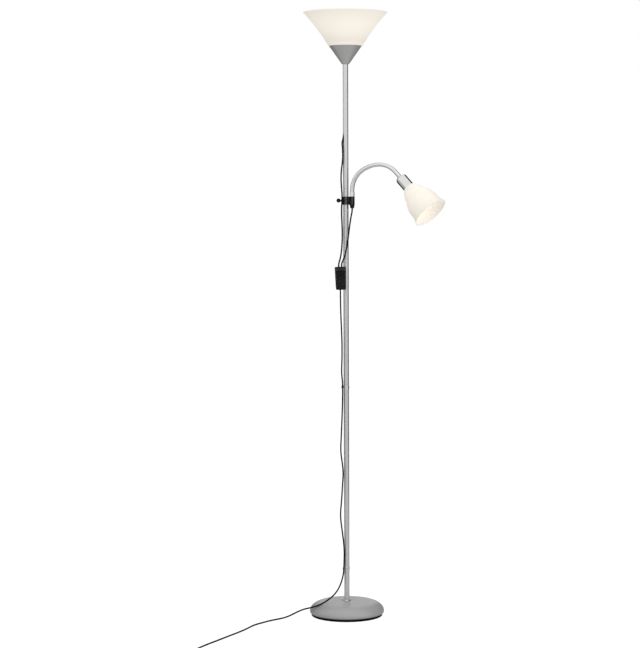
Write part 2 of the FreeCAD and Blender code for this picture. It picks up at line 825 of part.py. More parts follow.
def make_clamp():
    bottom = size.clamp_bottom_height
    height = size.clamp_height
    flange_bottom = bottom - size.joint_clearance - size.liner_flange_height
    sleeve = cylinder("liner_sleeve", size.liner_radius, height + bottom - flange_bottom)
    flange = cylinder("liner_flange", size.liner_flange_radius, size.liner_flange_height)
    bore = cylinder(
        "liner_bore", size.pole_radius + size.running_clearance, height + bottom - flange_bottom
    )
    slit = box(
        "liner_slit_gap", size.liner_flange_radius * 2, size.liner_slit,
        height + bottom - flange_bottom,
        frame_text((0, -size.liner_slit / 2, 0)),
    )
    liner = cut("clamp_liner", fuse("liner_blank", sleeve, flange), bore, slit)
    node(place(liner, frame_text((0, 0, flange_bottom), angle=90)))

    collar = cylinder("collar", size.clamp_radius, height)
    socket = cylinder("socket", size.socket_radius, height, frame_text((size.arm_offset, 0, 0)))
    web = box(
        "collar_web", size.arm_offset - size.liner_radius, size.web_width, height,
        frame_text((size.liner_radius, -size.web_width / 2, 0)),
    )
    tail = primitive(
        "Cone", "socket_tail", frame_text((size.arm_offset, 0, -size.socket_tail_height)),
        Radius1=size.socket_tail_radius, Radius2=size.socket_radius, Height=size.socket_tail_height,
    )
    boss = cylinder(
        "screw_boss", size.boss_radius, size.boss_reach,
        frame_text((0, 0, height / 2), (0, 1, 0), -90),
    )
    pole_bore = cylinder("collar_bore", size.liner_radius + size.running_clearance, height)
    socket_bore = cylinder(
        "socket_bore", size.neck_radius + size.running_clearance, height - size.socket_floor,
        frame_text((size.arm_offset, 0, size.socket_floor)),
    )
    cord_hole = cylinder(
        "socket_cord_hole", size.cord_radius + size.outlet_clearance,
        size.socket_floor + size.socket_tail_height,
        frame_text((size.arm_offset, 0, -size.socket_tail_height)),
    )
    nut_hole = cylinder(
        "insert_nut_hole", size.insert_nut_radius + size.fit_clearance, size.boss_reach,
        frame_text((0, 0, height / 2), (0, 1, 0), -90),
    )
    clamp = cut(
        "arm_clamp", fuse("clamp_blank", collar, socket, web, tail, boss),
        pole_bore, socket_bore, cord_hole, nut_hole,
    )
    node(place(clamp, clamp_frame(frame_text((0, 0, bottom)))))

    # Measured outwards from the pole's axis, opposite the arm
    screw_way = clamp_frame(frame_text((0, 0, bottom + height / 2), (0, 1, 0), -90))
    nut_start = size.boss_reach - size.insert_nut_length
    nut = tube(
        "clamp_insert_nut", size.insert_nut_radius, size.screw_radius + size.running_clearance,
        size.insert_nut_length,
    )
    node(place(nut, screw_way, frame_text((0, 0, nut_start))))
    screw_start = size.liner_radius + size.fit_clearance
    screw = cylinder("clamp_screw", size.screw_radius, size.knob_reach - screw_start)
    node(place(screw, screw_way, frame_text((0, 0, screw_start))))
    ball = primitive("Sphere", "knob_ball", frame_text((0, 0, size.knob_reach)), Radius=size.knob_radius)
    neck_side = box(
        "knob_flat_side", size.knob_radius * 2, size.knob_radius * 2, size.knob_radius,
        frame_text((
            -size.knob_radius, -size.knob_radius, size.knob_reach - size.knob_flat - size.knob_radius,
        )),
    )
    screw_hole = cylinder(
        "knob_hole", size.screw_radius + size.fit_clearance, size.knob_reach
    )
    node(place(cut("clamp_knob", ball, neck_side, screw_hole), screw_way))


# ---------------------------------------------------------------- flexible neck

def bent_tube(name, radius, bend, angle):
    """A solid ring segment that leaves its frame along Z and bends towards X."""
    return primitive(
        "Torus", name, frame_text((bend, 0, 0), (0, 1, 1), 180),
        Radius1=bend, Radius2=radius, Angle3=angle,
    )


def bend_end(bend, angle):
    """Frame at the end of a bend, on the frame at its start."""
    point = (bend * (1 - cosine(angle)), 0, bend * sine(angle))
    return frame_text(point, (0, 1, 0), angle)


def neck_pocket(name):
    return primitive("Sphere", name, Radius=size.neck_radius + size.joint_clearance)


def half_ball(name, frame):
    return primitive("Sphere", name, frame, Radius=size.neck_radius, Angle1=0)


def make_neck():
    socket_floor = size.clamp_bottom_height + size.socket_floor + size.joint_clearance
    clamp_top = size.clamp_bottom_height + size.clamp_height
    rise_top = clamp_top + size.neck_rise
    rise = rise_top - socket_floor
    through_ball = size.neck_radius * 2

    stem = cylinder("riser_stem", size.neck_radius, rise)
    ball = half_ball("riser_ball", frame_text((0, 0, rise)))
    hole = cylinder("riser_hole", size.neck_bore, rise + through_ball)
    riser = cut("neck_riser", fuse("riser_blank", stem, ball), hole)
    node(place(riser, clamp_frame(frame_text((size.arm_offset, 0, socket_floor)))))

    ferrule = tube(
        "neck_ferrule", size.ferrule_radius, size.neck_radius + size.fit_clearance,
        size.ferrule_height,
    )
    ferrule_foot = (size.arm_offset, 0, clamp_top + size.joint_clearance)
    node(place(ferrule, clamp_frame(frame_text(ferrule_foot))))

    bends = [
        (size.neck_bend_radius_one, size.neck_bend_angle_one),
        (size.neck_bend_radius_two, size.neck_bend_angle_two),
        (size.neck_bend_radius_three, size.neck_bend_angle_three),
    ]
    frame = clamp_frame(frame_text((size.arm_offset, 0, rise_top)))
    for number, (bend, angle) in enumerate(bends, 1):
        name = f"neck_section_{number}"
        arc = bent_tube(f"{name}_arc", size.neck_radius, bend, angle)
        arc_bore = bent_tube(f"{name}_arc_bore", size.neck_bore, bend, angle)
        ball = half_ball(f"{name}_ball", bend_end(bend, angle))
        ball_bore = cylinder(f"{name}_ball_bore", size.neck_bore, through_ball, bend_end(bend, angle))
        section = cut(
            name, fuse(f"{name}_blank", arc, ball), neck_pocket(f"{name}_pocket"), arc_bore, ball_bore
        )
        node(place(section, frame))
        frame = f"{name}.Placement * {bend_end(bend, angle)}"

    stem = cylinder("tip_stem", size.neck_radius, size.neck_tip_length + size.neck_tip_inside)
    hole = cylinder("tip_hole", size.neck_bore, size.neck_tip_length + size.neck_tip_inside)
    node(place(cut("neck_tip", stem, neck_pocket("tip_pocket"), hole), frame))


# ---------------------------------------------------------------- reading head

def head_frame(distance=0):
    """On the head's axis, a distance past the top of its cup."""
    return f"neck_tip.Placement * {frame_text((0, 0, size.neck_tip_length + distance))}"


def make_reading_head():
    hole = size.neck_radius + size.fit_clearance
    sheet_depth = size.head_cup_sheet
    shoulder = size.head_cup_shoulder
    brow = size.head_cup_radius - shoulder
    cup = turned("reading_cup", [
        (hole, 0),
        (brow, 0, shoulder),
        (size.head_cup_radius, shoulder),
        (size.head_cup_radius, size.head_cup_length),
        (size.head_cup_radius - sheet_depth, size.head_cup_length),
        (size.head_cup_radius - sheet_depth, shoulder, sheet_depth - shoulder),
        (brow, sheet_depth),
        (hole, sheet_depth),
    ])
    node(place(cup, head_frame()))

    seat = size.head_cup_length
    neck_hole = size.cord_radius + size.outlet_clearance
    holder = turned("small_lampholder", [
        (neck_hole, size.small_holder_top),
        (size.small_holder_radius, size.small_holder_top),
        (size.small_holder_radius, seat - size.small_holder_flange_height),
        (size.small_holder_flange, seat - size.small_holder_flange_height),
        (size.small_holder_flange, seat),
        (size.small_holder_radius, seat),
        (size.small_holder_radius, seat + size.small_holder_thread),
        (size.small_holder_bore, seat + size.small_holder_thread),
        (size.small_holder_bore, size.small_holder_top + size.small_holder_floor),
        (neck_hole, size.small_holder_top + size.small_holder_floor),
    ])
    node(place(holder, head_frame()))

    wall = size.glass_wall
    neck_radius = size.glass_neck_radius
    outer = [
        (neck_radius, 0, size.glass_shoulder_arc_radius),
        (size.glass_waist_radius, size.glass_waist_length, size.glass_side_arc_radius),
        (size.glass_belly_radius, size.glass_belly_length, -size.glass_flare_arc_radius),
        (size.glass_rim_radius, size.glass_length),
    ]
    inner = [
        (size.glass_rim_radius - wall, size.glass_length, size.glass_flare_arc_radius + wall),
        (size.glass_belly_radius - wall, size.glass_belly_length, wall - size.glass_side_arc_radius),
        (size.glass_waist_radius - wall, size.glass_waist_length, wall - size.glass_shoulder_arc_radius),
        (neck_radius, wall),
        (size.glass_seat_radius, wall),
        (size.glass_seat_radius, 0),
    ]
    shade = turned("reading_shade", outer + inner)
    node(place(shade, head_frame(seat)))

    ring = tube(
        "small_holder_ring", size.small_ring_radius, size.small_holder_radius + size.fit_clearance,
        size.small_ring_height,
    )
    node(place(ring, head_frame(seat + wall)))
    cap = (size.small_bulb_cap_radius, size.small_bulb_cap_length)
    neck = (size.small_bulb_neck_radius, size.small_bulb_neck_height)
    make_bulb(
        "reading_bulb", cap, neck, size.small_bulb_radius, size.small_bulb_length,
        head_frame(seat + size.small_holder_thread),
    )


# ---------------------------------------------------------------- inline switch

def switch_frame():
    middle = (size.switch_across, size.switch_front, size.switch_height)
    return frame_text(middle, (0, 1, 0), -size.switch_tilt)


def switch_outline(margin):
    """The housing's face, or the line a margin inside it."""
    half = size.switch_length / 2 - margin
    return [
        (margin - size.switch_bottom_width / 2, -half),
        (size.switch_bottom_width / 2 - margin, -half),
        (size.switch_top_width / 2 - margin, half),
        (margin - size.switch_top_width / 2, half),
    ]


def make_switch_shell(name, forward):
    """Half of the housing, on one side of its split plane."""
    depth = size.switch_half_depth
    shell = padded(name, switch_outline(0), depth, reverse=not forward)
    across = Vector(0, 1, 0)
    rounded(shell, f"{name}_corners", size.switch_corner, lambda edge: runs_along(edge, across))
    outer_level = -depth.value if forward else depth.value
    rounded(
        shell, f"{name}_rim", size.switch_edge, lambda edge: lies_at(edge, across, outer_level)
    )
    inside = depth - size.switch_wall
    pocketed(
        shell, f"{name}_cavity", switch_outline(size.switch_wall * 2), inside, reverse=forward
    )
    return shell


def make_switch():
    frame = switch_frame()
    depth = size.switch_half_depth
    half_gap = size.joint_clearance + size.fit_clearance * 2
    front = make_switch_shell("switch_front_blank", True)
    windows = []
    for name, side in (("left", -1), ("right", 1)):
        middle = size.rocker_spacing / 2 * side
        windows.append(box(
            f"window_{name}", size.rocker_width + half_gap * 2, depth,
            size.rocker_length + half_gap * 2,
            frame_text((
                middle - size.rocker_width / 2 - half_gap, -depth,
                size.rocker_offset - size.rocker_length / 2 - half_gap,
            )),
        ))
    axle_hole = cylinder(
        "axle_hole", size.axle_radius + size.fit_clearance, size.axle_length,
        frame_text((-size.axle_length / 2, -size.rocker_pivot, size.rocker_offset), (0, 1, 0), 90),
    )
    boss_start = size.rocker_spacing / 2 + size.rocker_width / 2 + half_gap
    bosses = []
    for name, side in (("left", -1), ("right", 1)):
        corner = boss_start if side > 0 else -boss_start - size.axle_boss_width
        bosses.append(box(
            f"axle_boss_{name}", size.axle_boss_width, depth - size.switch_wall,
            size.axle_boss_height,
            frame_text((corner, size.switch_wall - depth, size.rocker_offset - size.axle_boss_height / 2)),
        ))
    levels = (("high", size.switch_screw_high), ("low", size.switch_screw_low))
    posts = [
        cylinder(
            f"screw_post_{name}", size.screw_post_radius, depth - size.switch_wall,
            frame_text((0, 0, level), (1, 0, 0), 90),
        )
        for name, level in levels
    ]
    pilot_depth = size.switch_half_depth / 2
    pilots = [
        cylinder(
            f"screw_pilot_{name}", size.switch_screw_radius + size.fit_clearance, pilot_depth,
            frame_text((0, 0, level), (1, 0, 0), 90),
        )
        for name, level in levels
    ]
    shell = cut(
        "switch_front", fuse("front_with_bosses", front, *bosses, *posts), *windows, axle_hole, *pilots
    )
    node(place(shell, frame))

    back = make_switch_shell("switch_back_blank", False)
    back_posts = [
        cylinder(
            f"back_post_{name}", size.screw_post_radius, depth - size.switch_wall,
            frame_text((0, 0, level), (1, 0, 0), -90),
        )
        for name, level in levels
    ]
    holes = [
        cylinder(
            f"back_hole_{name}", size.switch_screw_radius + size.fit_clearance, depth,
            frame_text((0, 0, level), (1, 0, 0), -90),
        )
        for name, level in levels
    ]
    shell = cut("switch_back", fuse("back_with_posts", back, *back_posts), *holes)
    node(place(shell, frame))

    screws = [
        cylinder(
            f"switch_screw_{name}", size.switch_screw_radius, depth + pilot_depth,
            frame_text((0, -pilot_depth, level), (1, 0, 0), -90),
        )
        for name, level in levels
    ]
    node(place(fuse("switch_screws", *screws), frame))
    axle = cylinder("rocker_axle", size.axle_radius, size.axle_length)
    node(place(axle, frame, frame_text(
        (-size.axle_length / 2, -size.rocker_pivot, size.rocker_offset), (0, 1, 0), 90,
    )))
    block = box(
        "terminal_block", size.terminal_width, size.terminal_depth, size.terminal_length
    )
    node(place(block, frame, frame_text((
        -size.terminal_width / 2,
        depth - size.switch_wall - size.terminal_depth,
        size.rocker_offset - size.terminal_length / 2,
    ))))

    for name, side in (("left", -1), ("right", 1)):
        make_rocker(f"rocker_{name}", size.rocker_spacing / 2 * side)


def make_rocker(name, middle):
    """Turns on the axle: Y is measured from the axle, towards the back."""
    half = size.rocker_length / 2
    front = size.rocker_pivot - size.rocker_face
    back = size.rocker_pivot - size.rocker_back
    profile = [
        (front, half),
        (front + size.rocker_edge, half),
        (back, size.rocker_back_length / 2),
        (back, -size.rocker_back_length / 2),
        (front + size.rocker_edge, -half),
        (front, -half),
        (front + size.rocker_dip, 0),
    ]
    plate = padded(
        f"{name}_plate", profile, size.rocker_width, "YZ_Plane", -size.rocker_width / 2
    )
    hole = cylinder(
        f"{name}_hole", size.axle_radius + size.running_clearance, size.rocker_width,
        frame_text((-size.rocker_width / 2, 0, 0), (0, 1, 0), 90),
    )
    rocker = cut(name, plate, hole)
    tilt = frame_text(
        (middle, -size.rocker_pivot, size.rocker_offset), (1, 0, 0), size.rocker_rest_angle
    )
    node(place(rocker, switch_frame(), tilt))


# ---------------------------------------------------------------- cable clips

def make_clip(name, bottom, direction):
    bore = size.pole_radius + size.fit_clearance
    band = cylinder(f"{name}_band", bore + size.clip_wall, size.clip_height)
    loop_at = frame_text((size.clip_reach, 0, 0))
    loop_bore = size.cord_radius + size.joint_clearance
    loop = cylinder(f"{name}_loop", loop_bore + size.clip_wall, size.clip_height, loop_at)
    pole_hole = cylinder(f"{name}_pole_hole", bore, size.clip_height)
    cord_hole = cylinder(f"{name}_cord_hole", loop_bore, size.clip_height, loop_at)
    slit = box(
        f"{name}_slit", size.pole_radius * 2, size.clip_slit, size.clip_height,
        frame_text((-size.pole_radius * 2, -size.clip_slit / 2, 0)),
    )
    clip = cut(name, fuse(f"{name}_blank", band, loop), pole_hole, cord_hole, slit)
    node(place(clip, frame_text((0, 0, bottom), angle=direction)))


# ---------------------------------------------------------------- cords

def smooth_path(points):
    """Straight runs joined by tangent arcs, each as large as its two runs allow."""
    trim_share = 0.45
    edges = []
    radii = []
    start = points[0]
    for before, corner, after in zip(points, points[1:], points[2:]):
        way_in = (corner - before).normalize()
        way_out = (after - corner).normalize()
        turn = way_in.getAngle(way_out)
        trim = trim_share * min((corner - before).Length, (after - corner).Length)
        radius = trim / math.tan(turn / 2)
        radii.append(radius)
        first = corner - way_in * trim
        last = corner + way_out * trim
        to_centre = (way_out - way_in).normalize()
        centre = corner + to_centre * (radius / math.cos(turn / 2))
        middle = centre - to_centre * radius
        edges.append(Part.LineSegment(start, first).toShape())
        edges.append(Part.Arc(first, middle, last).toShape())
        start = last
    edges.append(Part.LineSegment(start, points[-1]).toShape())
    return edges, radii


def sweep(edges, radius):
    """A round tube along joined edges."""
    path = Part.Wire(edges)
    start = edges[0].valueAt(edges[0].FirstParameter)
    way = edges[0].tangentAt(edges[0].FirstParameter)
    section = Part.Wire([Part.Circle(start, way, radius).toShape()])
    solid = path.makePipeShell([section], True, False)
    expected = math.pi * radius ** 2 * path.Length
    if abs(solid.Volume / expected - 1) > 0.01:
        raise RuntimeError(f"a cord's volume is {solid.Volume:.0f}, not {expected:.0f}")
    return solid, path.Length


def cord(name, points):
    edges, radii = smooth_path(points)
    solid, length = sweep(edges, size.cord_radius.value)
    feature = doc.addObject("Part::Feature", name)
    feature.Shape = solid
    node(feature)
    print(f"{name}: {length:.0f} mm long, radii {min(radii):.0f} to {max(radii):.0f} mm")
    return length


def quarter_arcs(point_at, steps):
    """Biarcs through the points of a curve: two tangent arcs for each quarter turn."""
    edges = []
    for number in range(steps):
        start, way = point_at(number)
        end, end_way = point_at(number + 1)
        chord = end - start
        ways = way + end_way
        square = 2 * (1 - way.dot(end_way))
        along_chord = chord.dot(ways)
        reach = (-along_chord + math.sqrt(along_chord ** 2 + square * chord.dot(chord))) / square
        inner_start = start + way * reach
        inner_end = end - end_way * reach
        joint = (inner_start + inner_end) * 0.5
        edges.append(tangent_arc(start, way, joint))
        edges.append(tangent_arc(end, end_way, joint, True))
    return edges


def tangent_arc(start, way, end, backwards=False):
    """The arc from start to end that leaves start along way, or reaches it along way."""
    chord = end - start
    aside = chord - way * chord.dot(way)
    radius = chord.dot(chord) / (2 * aside.Length)
    centre = start + aside.normalize() * radius
    middle = (start + end) * 0.5 - centre
    apex = centre + middle.normalize() * radius
    if backwards:
        return Part.Arc(end, apex, start).toShape()
    return Part.Arc(start, apex, end).toShape()


def coil_curve():
    """Spirals in on the floor, climbs a layer in the half turn where it reverses, and spirals out."""
    radius = size.cord_radius.value
    pitch = size.coil_pitch.value
    turns = size.coil_turns.value
    inner = size.coil_inner_radius.value
    outer = inner + pitch * turns
    floor_level = radius + size.cord_floor_gap.value
    middle = Vector(size.coil_across.value, size.coil_front.value, floor_level)
    half_steps = int(round(turns * 4))
    steps = half_steps * 2 + 2

    def height_at(quarter):
        share = min(max((quarter - half_steps) / 2, 0), 1)
        return pitch * share * share * (3 - 2 * share)

    def radius_at(quarter):
        return inner + pitch * (abs(quarter - half_steps - 1) - 1) / 4

    def place_at(quarter):
        angle = math.radians(90 * quarter + size.coil_start_angle.value)
        reach = radius_at(quarter)
        return middle + Vector(reach * math.cos(angle), reach * math.sin(angle), height_at(quarter))

    def point_at(quarter):
        small = 1e-4
        way = place_at(quarter + small) - place_at(quarter - small)
        if quarter in (half_steps, half_steps + 2):
            way.z = 0
        return place_at(quarter), way.normalize()

    return point_at, place_at, steps


def least_gap(place_at, steps):
    """Least clear space between turns, measured on points along the coil."""
    per_quarter = 16
    apart = per_quarter + per_quarter // 2
    count = steps * per_quarter
    points = [place_at(number / per_quarter) for number in range(count + 1)]
    nearest = min(
        (first - second).Length
        for number, first in enumerate(points)
        for second in points[number + apart:]
    )
    return nearest - 2 * size.cord_radius.value


def make_cords():
    radius = size.cord_radius.value
    doc.recompute()
    outlet = doc.getObject("pole_slot").Placement
    out_way = outlet.Rotation.multVec(Vector(0, 0, 1))
    exit_point = outlet.Base + out_way * size.outlet_slope_length.value
    top_height = size.cup_bottom_height.value - size.insert_length.value + size.nipple_length.value
    reach = size.outlet_reach.value / math.hypot(out_way.x, out_way.y)
    cord("pole_wire", [Vector(0, 0, top_height), exit_point - out_way * reach, exit_point])

    switch = doc.getObject("switch_front").Placement
    half = size.switch_length.value / 2
    up = switch.Rotation.multVec(Vector(0, 0, 1))
    lead = size.cord_lead.value
    left_entry = switch.multVec(Vector(size.switch_left_entry.value, 0, half))
    right_entry = switch.multVec(Vector(size.switch_right_entry.value, 0, half))
    lower_entry = switch.multVec(Vector(size.switch_lower_entry.value, 0, -half))
    upper = [Vector(*row) for row in UPPER_CORD]
    cord("cord_upper", [
        exit_point, exit_point + out_way * lead, *upper, left_entry + up * lead, left_entry,
    ])

    tail = size.socket_tail_height.value
    socket_end = doc.getObject("arm_clamp").Placement.multVec(Vector(size.arm_offset.value, 0, -tail))
    reading = [Vector(*row) for row in READING_CORD]
    cord("cord_reading", [socket_end, *reading, right_entry + up * lead, right_entry])

    point_at, place_at, steps = coil_curve()
    coil_start, start_way = point_at(0)
    hanging = [Vector(*row) for row in HANGING_CORD]
    floor_level = radius + size.cord_floor_gap.value
    floor_cord = [Vector(across, front, floor_level) for across, front in FLOOR_CORD]
    mains = [
        lower_entry, lower_entry - up * lead, *hanging, *floor_cord,
        coil_start - start_way * lead, coil_start,
    ]
    mains_length = cord("cord_mains", mains)

    edges = quarter_arcs(point_at, steps)
    solid, coil_length = sweep(edges, radius)
    coil = doc.addObject("Part::Feature", "cord_coil")
    coil.Shape = solid
    node(coil)
    gap = least_gap(place_at, steps)
    print(f"cord_coil: {coil_length:.0f} mm long, least gap to itself {gap:.2f} mm")

    coil_end, end_way = point_at(steps)
    aside = Vector(-end_way.y, end_way.x, 0)
    plug_middle = size.plug_thickness.value / 2
    tail_points = [coil_end, coil_end + end_way * lead]
    for reach, side in TAIL_STEPS:
        step = coil_end + end_way * reach + aside * side
        tail_points.append(Vector(step.x, step.y, plug_middle))
    plug_start = tail_points[-1]
    plug_way = (plug_start - tail_points[-2]).normalize()
    tail_length = cord("cord_tail", tail_points)
    print(f"mains cord from the switch to the plug: {mains_length + coil_length + tail_length:.0f} mm")
    make_plug(plug_start, plug_way)


def make_plug(start, way):
    """Lies flat on the floor, with its pins along the cord's last way."""
    half = size.plug_width / 2
    tail = size.plug_tail_width / 2
    shoulder = size.plug_shoulder
    body = padded(
        "plug_blank",
        [
            (0, -tail), (shoulder, -half), (size.plug_length, -half),
            (size.plug_length, half), (shoulder, half), (0, tail),
        ],
        size.plug_thickness, "XY_Plane", -size.plug_thickness / 2,
    )
    rounded(body, "plug_sides", size.plug_corner, lambda edge: runs_along(edge, Vector(0, 0, 1)))
    top = size.plug_thickness.value / 2
    rounded(
        body, "plug_edges", size.plug_corner / 2,
        lambda edge: lies_at(edge, Vector(0, 0, 1), top) or lies_at(edge, Vector(0, 0, 1), -top),
    )
    pins = []
    holes = []
    for name, side in (("left", -1), ("right", 1)):
        aside = size.pin_spacing / 2 * side
        seat = frame_text((size.plug_length - size.pin_seat, aside, 0), (0, 1, 0), 90)
        face = frame_text((size.plug_length, aside, 0), (0, 1, 0), 90)
        hole_radius = size.pin_root_radius + size.fit_clearance
        pins.append(cylinder(f"pin_root_{name}", size.pin_root_radius, size.pin_seat, seat))
        pins.append(cylinder(f"pin_{name}", size.pin_radius, size.pin_length, face))
        holes.append(cylinder(f"pin_hole_{name}", hole_radius, size.pin_seat, seat))
    angle = math.degrees(math.atan2(way.y, way.x))
    frame = frame_text((start.x, start.y, start.z), angle=angle)
    node(place(cut("plug_body", body, *holes), frame))
    node(place(fuse("plug_pins", *pins), frame))


# ---------------------------------------------------------------- build, check and write

make_base()
make_pole()
make_upper_head()
make_clamp()
make_neck()
make_reading_head()
make_switch()
make_clip("cable_clip_upper", size.upper_clip_height, size.upper_clip_direction)
make_clip("cable_clip_lower", size.lower_clip_height, size.lower_clip_direction)
make_cords()
doc.recompute()

for thing in doc.Objects:
    if "Invalid" in thing.State or "Error" in thing.State:
        raise RuntimeError(f"{thing.Name} did not build: {thing.State}")
for part in nodes:
    if part.Shape.isNull() or not part.Shape.isValid():
        raise RuntimeError(f"{part.Label} has no valid shape")

os.makedirs("parts", exist_ok=True)
for part in nodes:
    part.Shape.exportStep(f"parts/{part.Label}.step")
print(f"{len(nodes)} nodes written")
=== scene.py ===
import math

import bmesh
import bpy
from mathutils import Matrix, Vector


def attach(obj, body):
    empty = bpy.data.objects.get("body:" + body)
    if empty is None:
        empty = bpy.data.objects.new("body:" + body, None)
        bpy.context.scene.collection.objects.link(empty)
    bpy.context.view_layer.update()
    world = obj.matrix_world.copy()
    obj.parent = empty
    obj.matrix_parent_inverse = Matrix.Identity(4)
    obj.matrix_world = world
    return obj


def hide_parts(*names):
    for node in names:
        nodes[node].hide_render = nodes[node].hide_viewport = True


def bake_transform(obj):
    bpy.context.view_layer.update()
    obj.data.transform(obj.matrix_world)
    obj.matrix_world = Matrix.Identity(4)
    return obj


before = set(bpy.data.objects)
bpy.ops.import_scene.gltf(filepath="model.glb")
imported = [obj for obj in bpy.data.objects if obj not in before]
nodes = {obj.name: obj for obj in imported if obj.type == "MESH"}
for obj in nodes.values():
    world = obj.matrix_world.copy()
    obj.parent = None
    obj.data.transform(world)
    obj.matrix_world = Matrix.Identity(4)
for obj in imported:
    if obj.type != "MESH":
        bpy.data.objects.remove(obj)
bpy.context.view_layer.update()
scene = bpy.context.scene
print("frame loaded:", len(nodes), "nodes")


# Camera, floor and light

cameraSet = {
    "distance": 5.7874,
    "height": 1.25793,
    "lens": 107.76,
    "shiftRight": -0.03983,
    "shiftUp": -0.20233,
    "roll": 0.002808,
}
lightSet = {
    "worldFill": 0.52,
    "backdropWhite": 1.0,
    "floorGlow": 0.87,
    "floorMirror": 0.3,
    "floorGrey": 0.28,
    "floorSize": 40.0,
    "cardAngles": ((-165, -108), (80, 165)),
    "cardReach": 2.4,
    "cardHeight": 3.6,
    "cardGrey": 0.02,
}
lampSet = {
    "key": {"power": 128, "size": (3.2, 3.2), "place": (-3.2, -4.2, 3.4), "aim": (0, 0, 1.2)},
    "fill": {"power": 105, "size": (3, 3), "place": (3.6, -3.0, 2.2), "aim": (0, 0, 1.0)},
    "leftGlint": {"power": 60, "size": (0.7, 1.2), "place": (-1.2, -4.4, 1.5), "aim": (0, 0, 1.1)},
    "rightGlint": {"power": 60, "size": (0.7, 1.2), "place": (1.2, -4.4, 1.5), "aim": (0, 0, 1.1)},
}


def addObject(name, data):
    added = bpy.data.objects.new(name, data)
    scene.collection.objects.link(added)
    return added


def addMesh(name, vertices, edges, faces):
    mesh = bpy.data.meshes.new(name)
    mesh.from_pydata(vertices, edges, faces)
    return addObject(name, mesh)


def addCamera():
    data = bpy.data.cameras.new("camera")
    data.sensor_width = 36
    data.lens = cameraSet["lens"]
    data.shift_x = cameraSet["shiftRight"]
    data.shift_y = cameraSet["shiftUp"]
    data.clip_end = 100
    camera = addObject("camera", data)
    camera.location = (0, -cameraSet["distance"], cameraSet["height"])
    camera.rotation_euler = (math.pi / 2, cameraSet["roll"], 0)
    scene.camera = camera


def addNode(tree, kind, links=(), values=(), **settings):
    node = tree.nodes.new(kind)
    for key, value in settings.items():
        setattr(node, key, value)
    for socket, value in dict(values).items():
        node.inputs[socket].default_value = value
    for socket, source in dict(links).items():
        tree.links.new(source, node.inputs[socket])
    return node


def addMath(tree, operation, *terms):
    plain = {index: term for index, term in enumerate(terms) if isinstance(term, (int, float))}
    linked = {index: term for index, term in enumerate(terms) if index not in plain}
    return addNode(tree, "ShaderNodeMath", linked, plain, operation=operation).outputs["Value"]


def addNoise(tree, place, scale, detail):
    noise = addNode(tree, "ShaderNodeTexNoise", {"Vector": place}, {"Scale": scale, "Detail": detail})
    return noise.outputs["Fac"]


def addWorld():
    world = bpy.data.worlds.new("studio")
    scene.world = world
    world.use_nodes = True
    tree = world.node_tree
    rays = addNode(tree, "ShaderNodeLightPath")
    seen = addMath(tree, "MAXIMUM", rays.outputs["Is Camera Ray"], rays.outputs["Is Glossy Ray"])
    seen = addMath(tree, "MAXIMUM", seen, rays.outputs["Is Transmission Ray"])
    strength = addNode(tree, "ShaderNodeMapRange", {"Value": seen}, {
        "To Min": lightSet["worldFill"], "To Max": lightSet["backdropWhite"],
    })
    background = tree.nodes["Background"]
    background.inputs["Color"].default_value = (1, 1, 1, 1)
    tree.links.new(strength.outputs["Result"], background.inputs["Strength"])


def addLamp(name, onlyOn=None):
    # A lamp with a collection lights and shines on its pieces only; the others aren't mirrored
    place, aim = lampSet[name]["place"], lampSet[name]["aim"]
    data = bpy.data.lights.new(name, "AREA")
    data.energy = lampSet[name]["power"]
    data.shape = "RECTANGLE"
    data.size, data.size_y = lampSet[name]["size"]
    lamp = addObject(f"{name}Lamp", data)
    lamp.visible_glossy = onlyOn is not None
    lamp.light_linking.receiver_collection = onlyOn
    lamp.location = place
    lamp.rotation_euler = (Vector(aim) - Vector(place)).to_track_quat("-Z", "Y").to_euler()


def plainMaterial(name, roughness, grey=0.8):
    material = bpy.data.materials.new(name)
    material.use_nodes = True
    shader = material.node_tree.nodes["Principled BSDF"]
    shader.inputs["Base Color"].default_value = (grey, grey, grey, 1)
    shader.inputs["Roughness"].default_value = roughness
    return material, material.node_tree, shader


def addPlate(name, corners, material):
    plate = addMesh(name, corners, [], [(0, 1, 2, 3)])
    plate.data.materials.append(material)
    return plate


def addFloor():
    half = lightSet["floorSize"] / 2
    material, tree, shader = plainMaterial("paleFloor", 0.9, lightSet["floorGrey"])
    shader.inputs["Emission Color"].default_value = (1, 1, 1, 1)
    rays = addNode(tree, "ShaderNodeLightPath")
    glow = addMath(tree, "MULTIPLY", rays.outputs["Is Camera Ray"], lightSet["floorGlow"])
    mirror = addMath(tree, "MULTIPLY", rays.outputs["Is Glossy Ray"], lightSet["floorMirror"])
    tree.links.new(addMath(tree, "ADD", glow, mirror), shader.inputs["Emission Strength"])
    material.cycles.emission_sampling = "NONE"
    addPlate("floor", [(-half, -half, 0), (half, -half, 0), (half, half, 0), (-half, half, 0)], material)


def addCards():
    # Two dark cards out of view, as in a studio, give the metal its dark edges
    reach, up = lightSet["cardReach"], Vector((0, 0, lightSet["cardHeight"]))
    material = plainMaterial("darkCard", 1.0, lightSet["cardGrey"])[0]
    for number, angles in enumerate(lightSet["cardAngles"], 1):
        ends = [Vector((math.sin(turn), -math.cos(turn), 0)) * reach for turn in map(math.radians, angles)]
        card = addPlate(f"darkCard{number}", [ends[0], ends[1], ends[1] + up, ends[0] + up], material)
        card.visible_camera = card.visible_diffuse = card.visible_shadow = False


addCamera()
addWorld()
addFloor()
addCards()
addLamp("key")
addLamp("fill")
glossyBlacks = bpy.data.collections.new("glossyBlacks")
addLamp("leftGlint", glossyBlacks)
addLamp("rightGlint", glossyBlacks)
scene.view_settings.view_transform = "Standard"
print("camera and lights set")
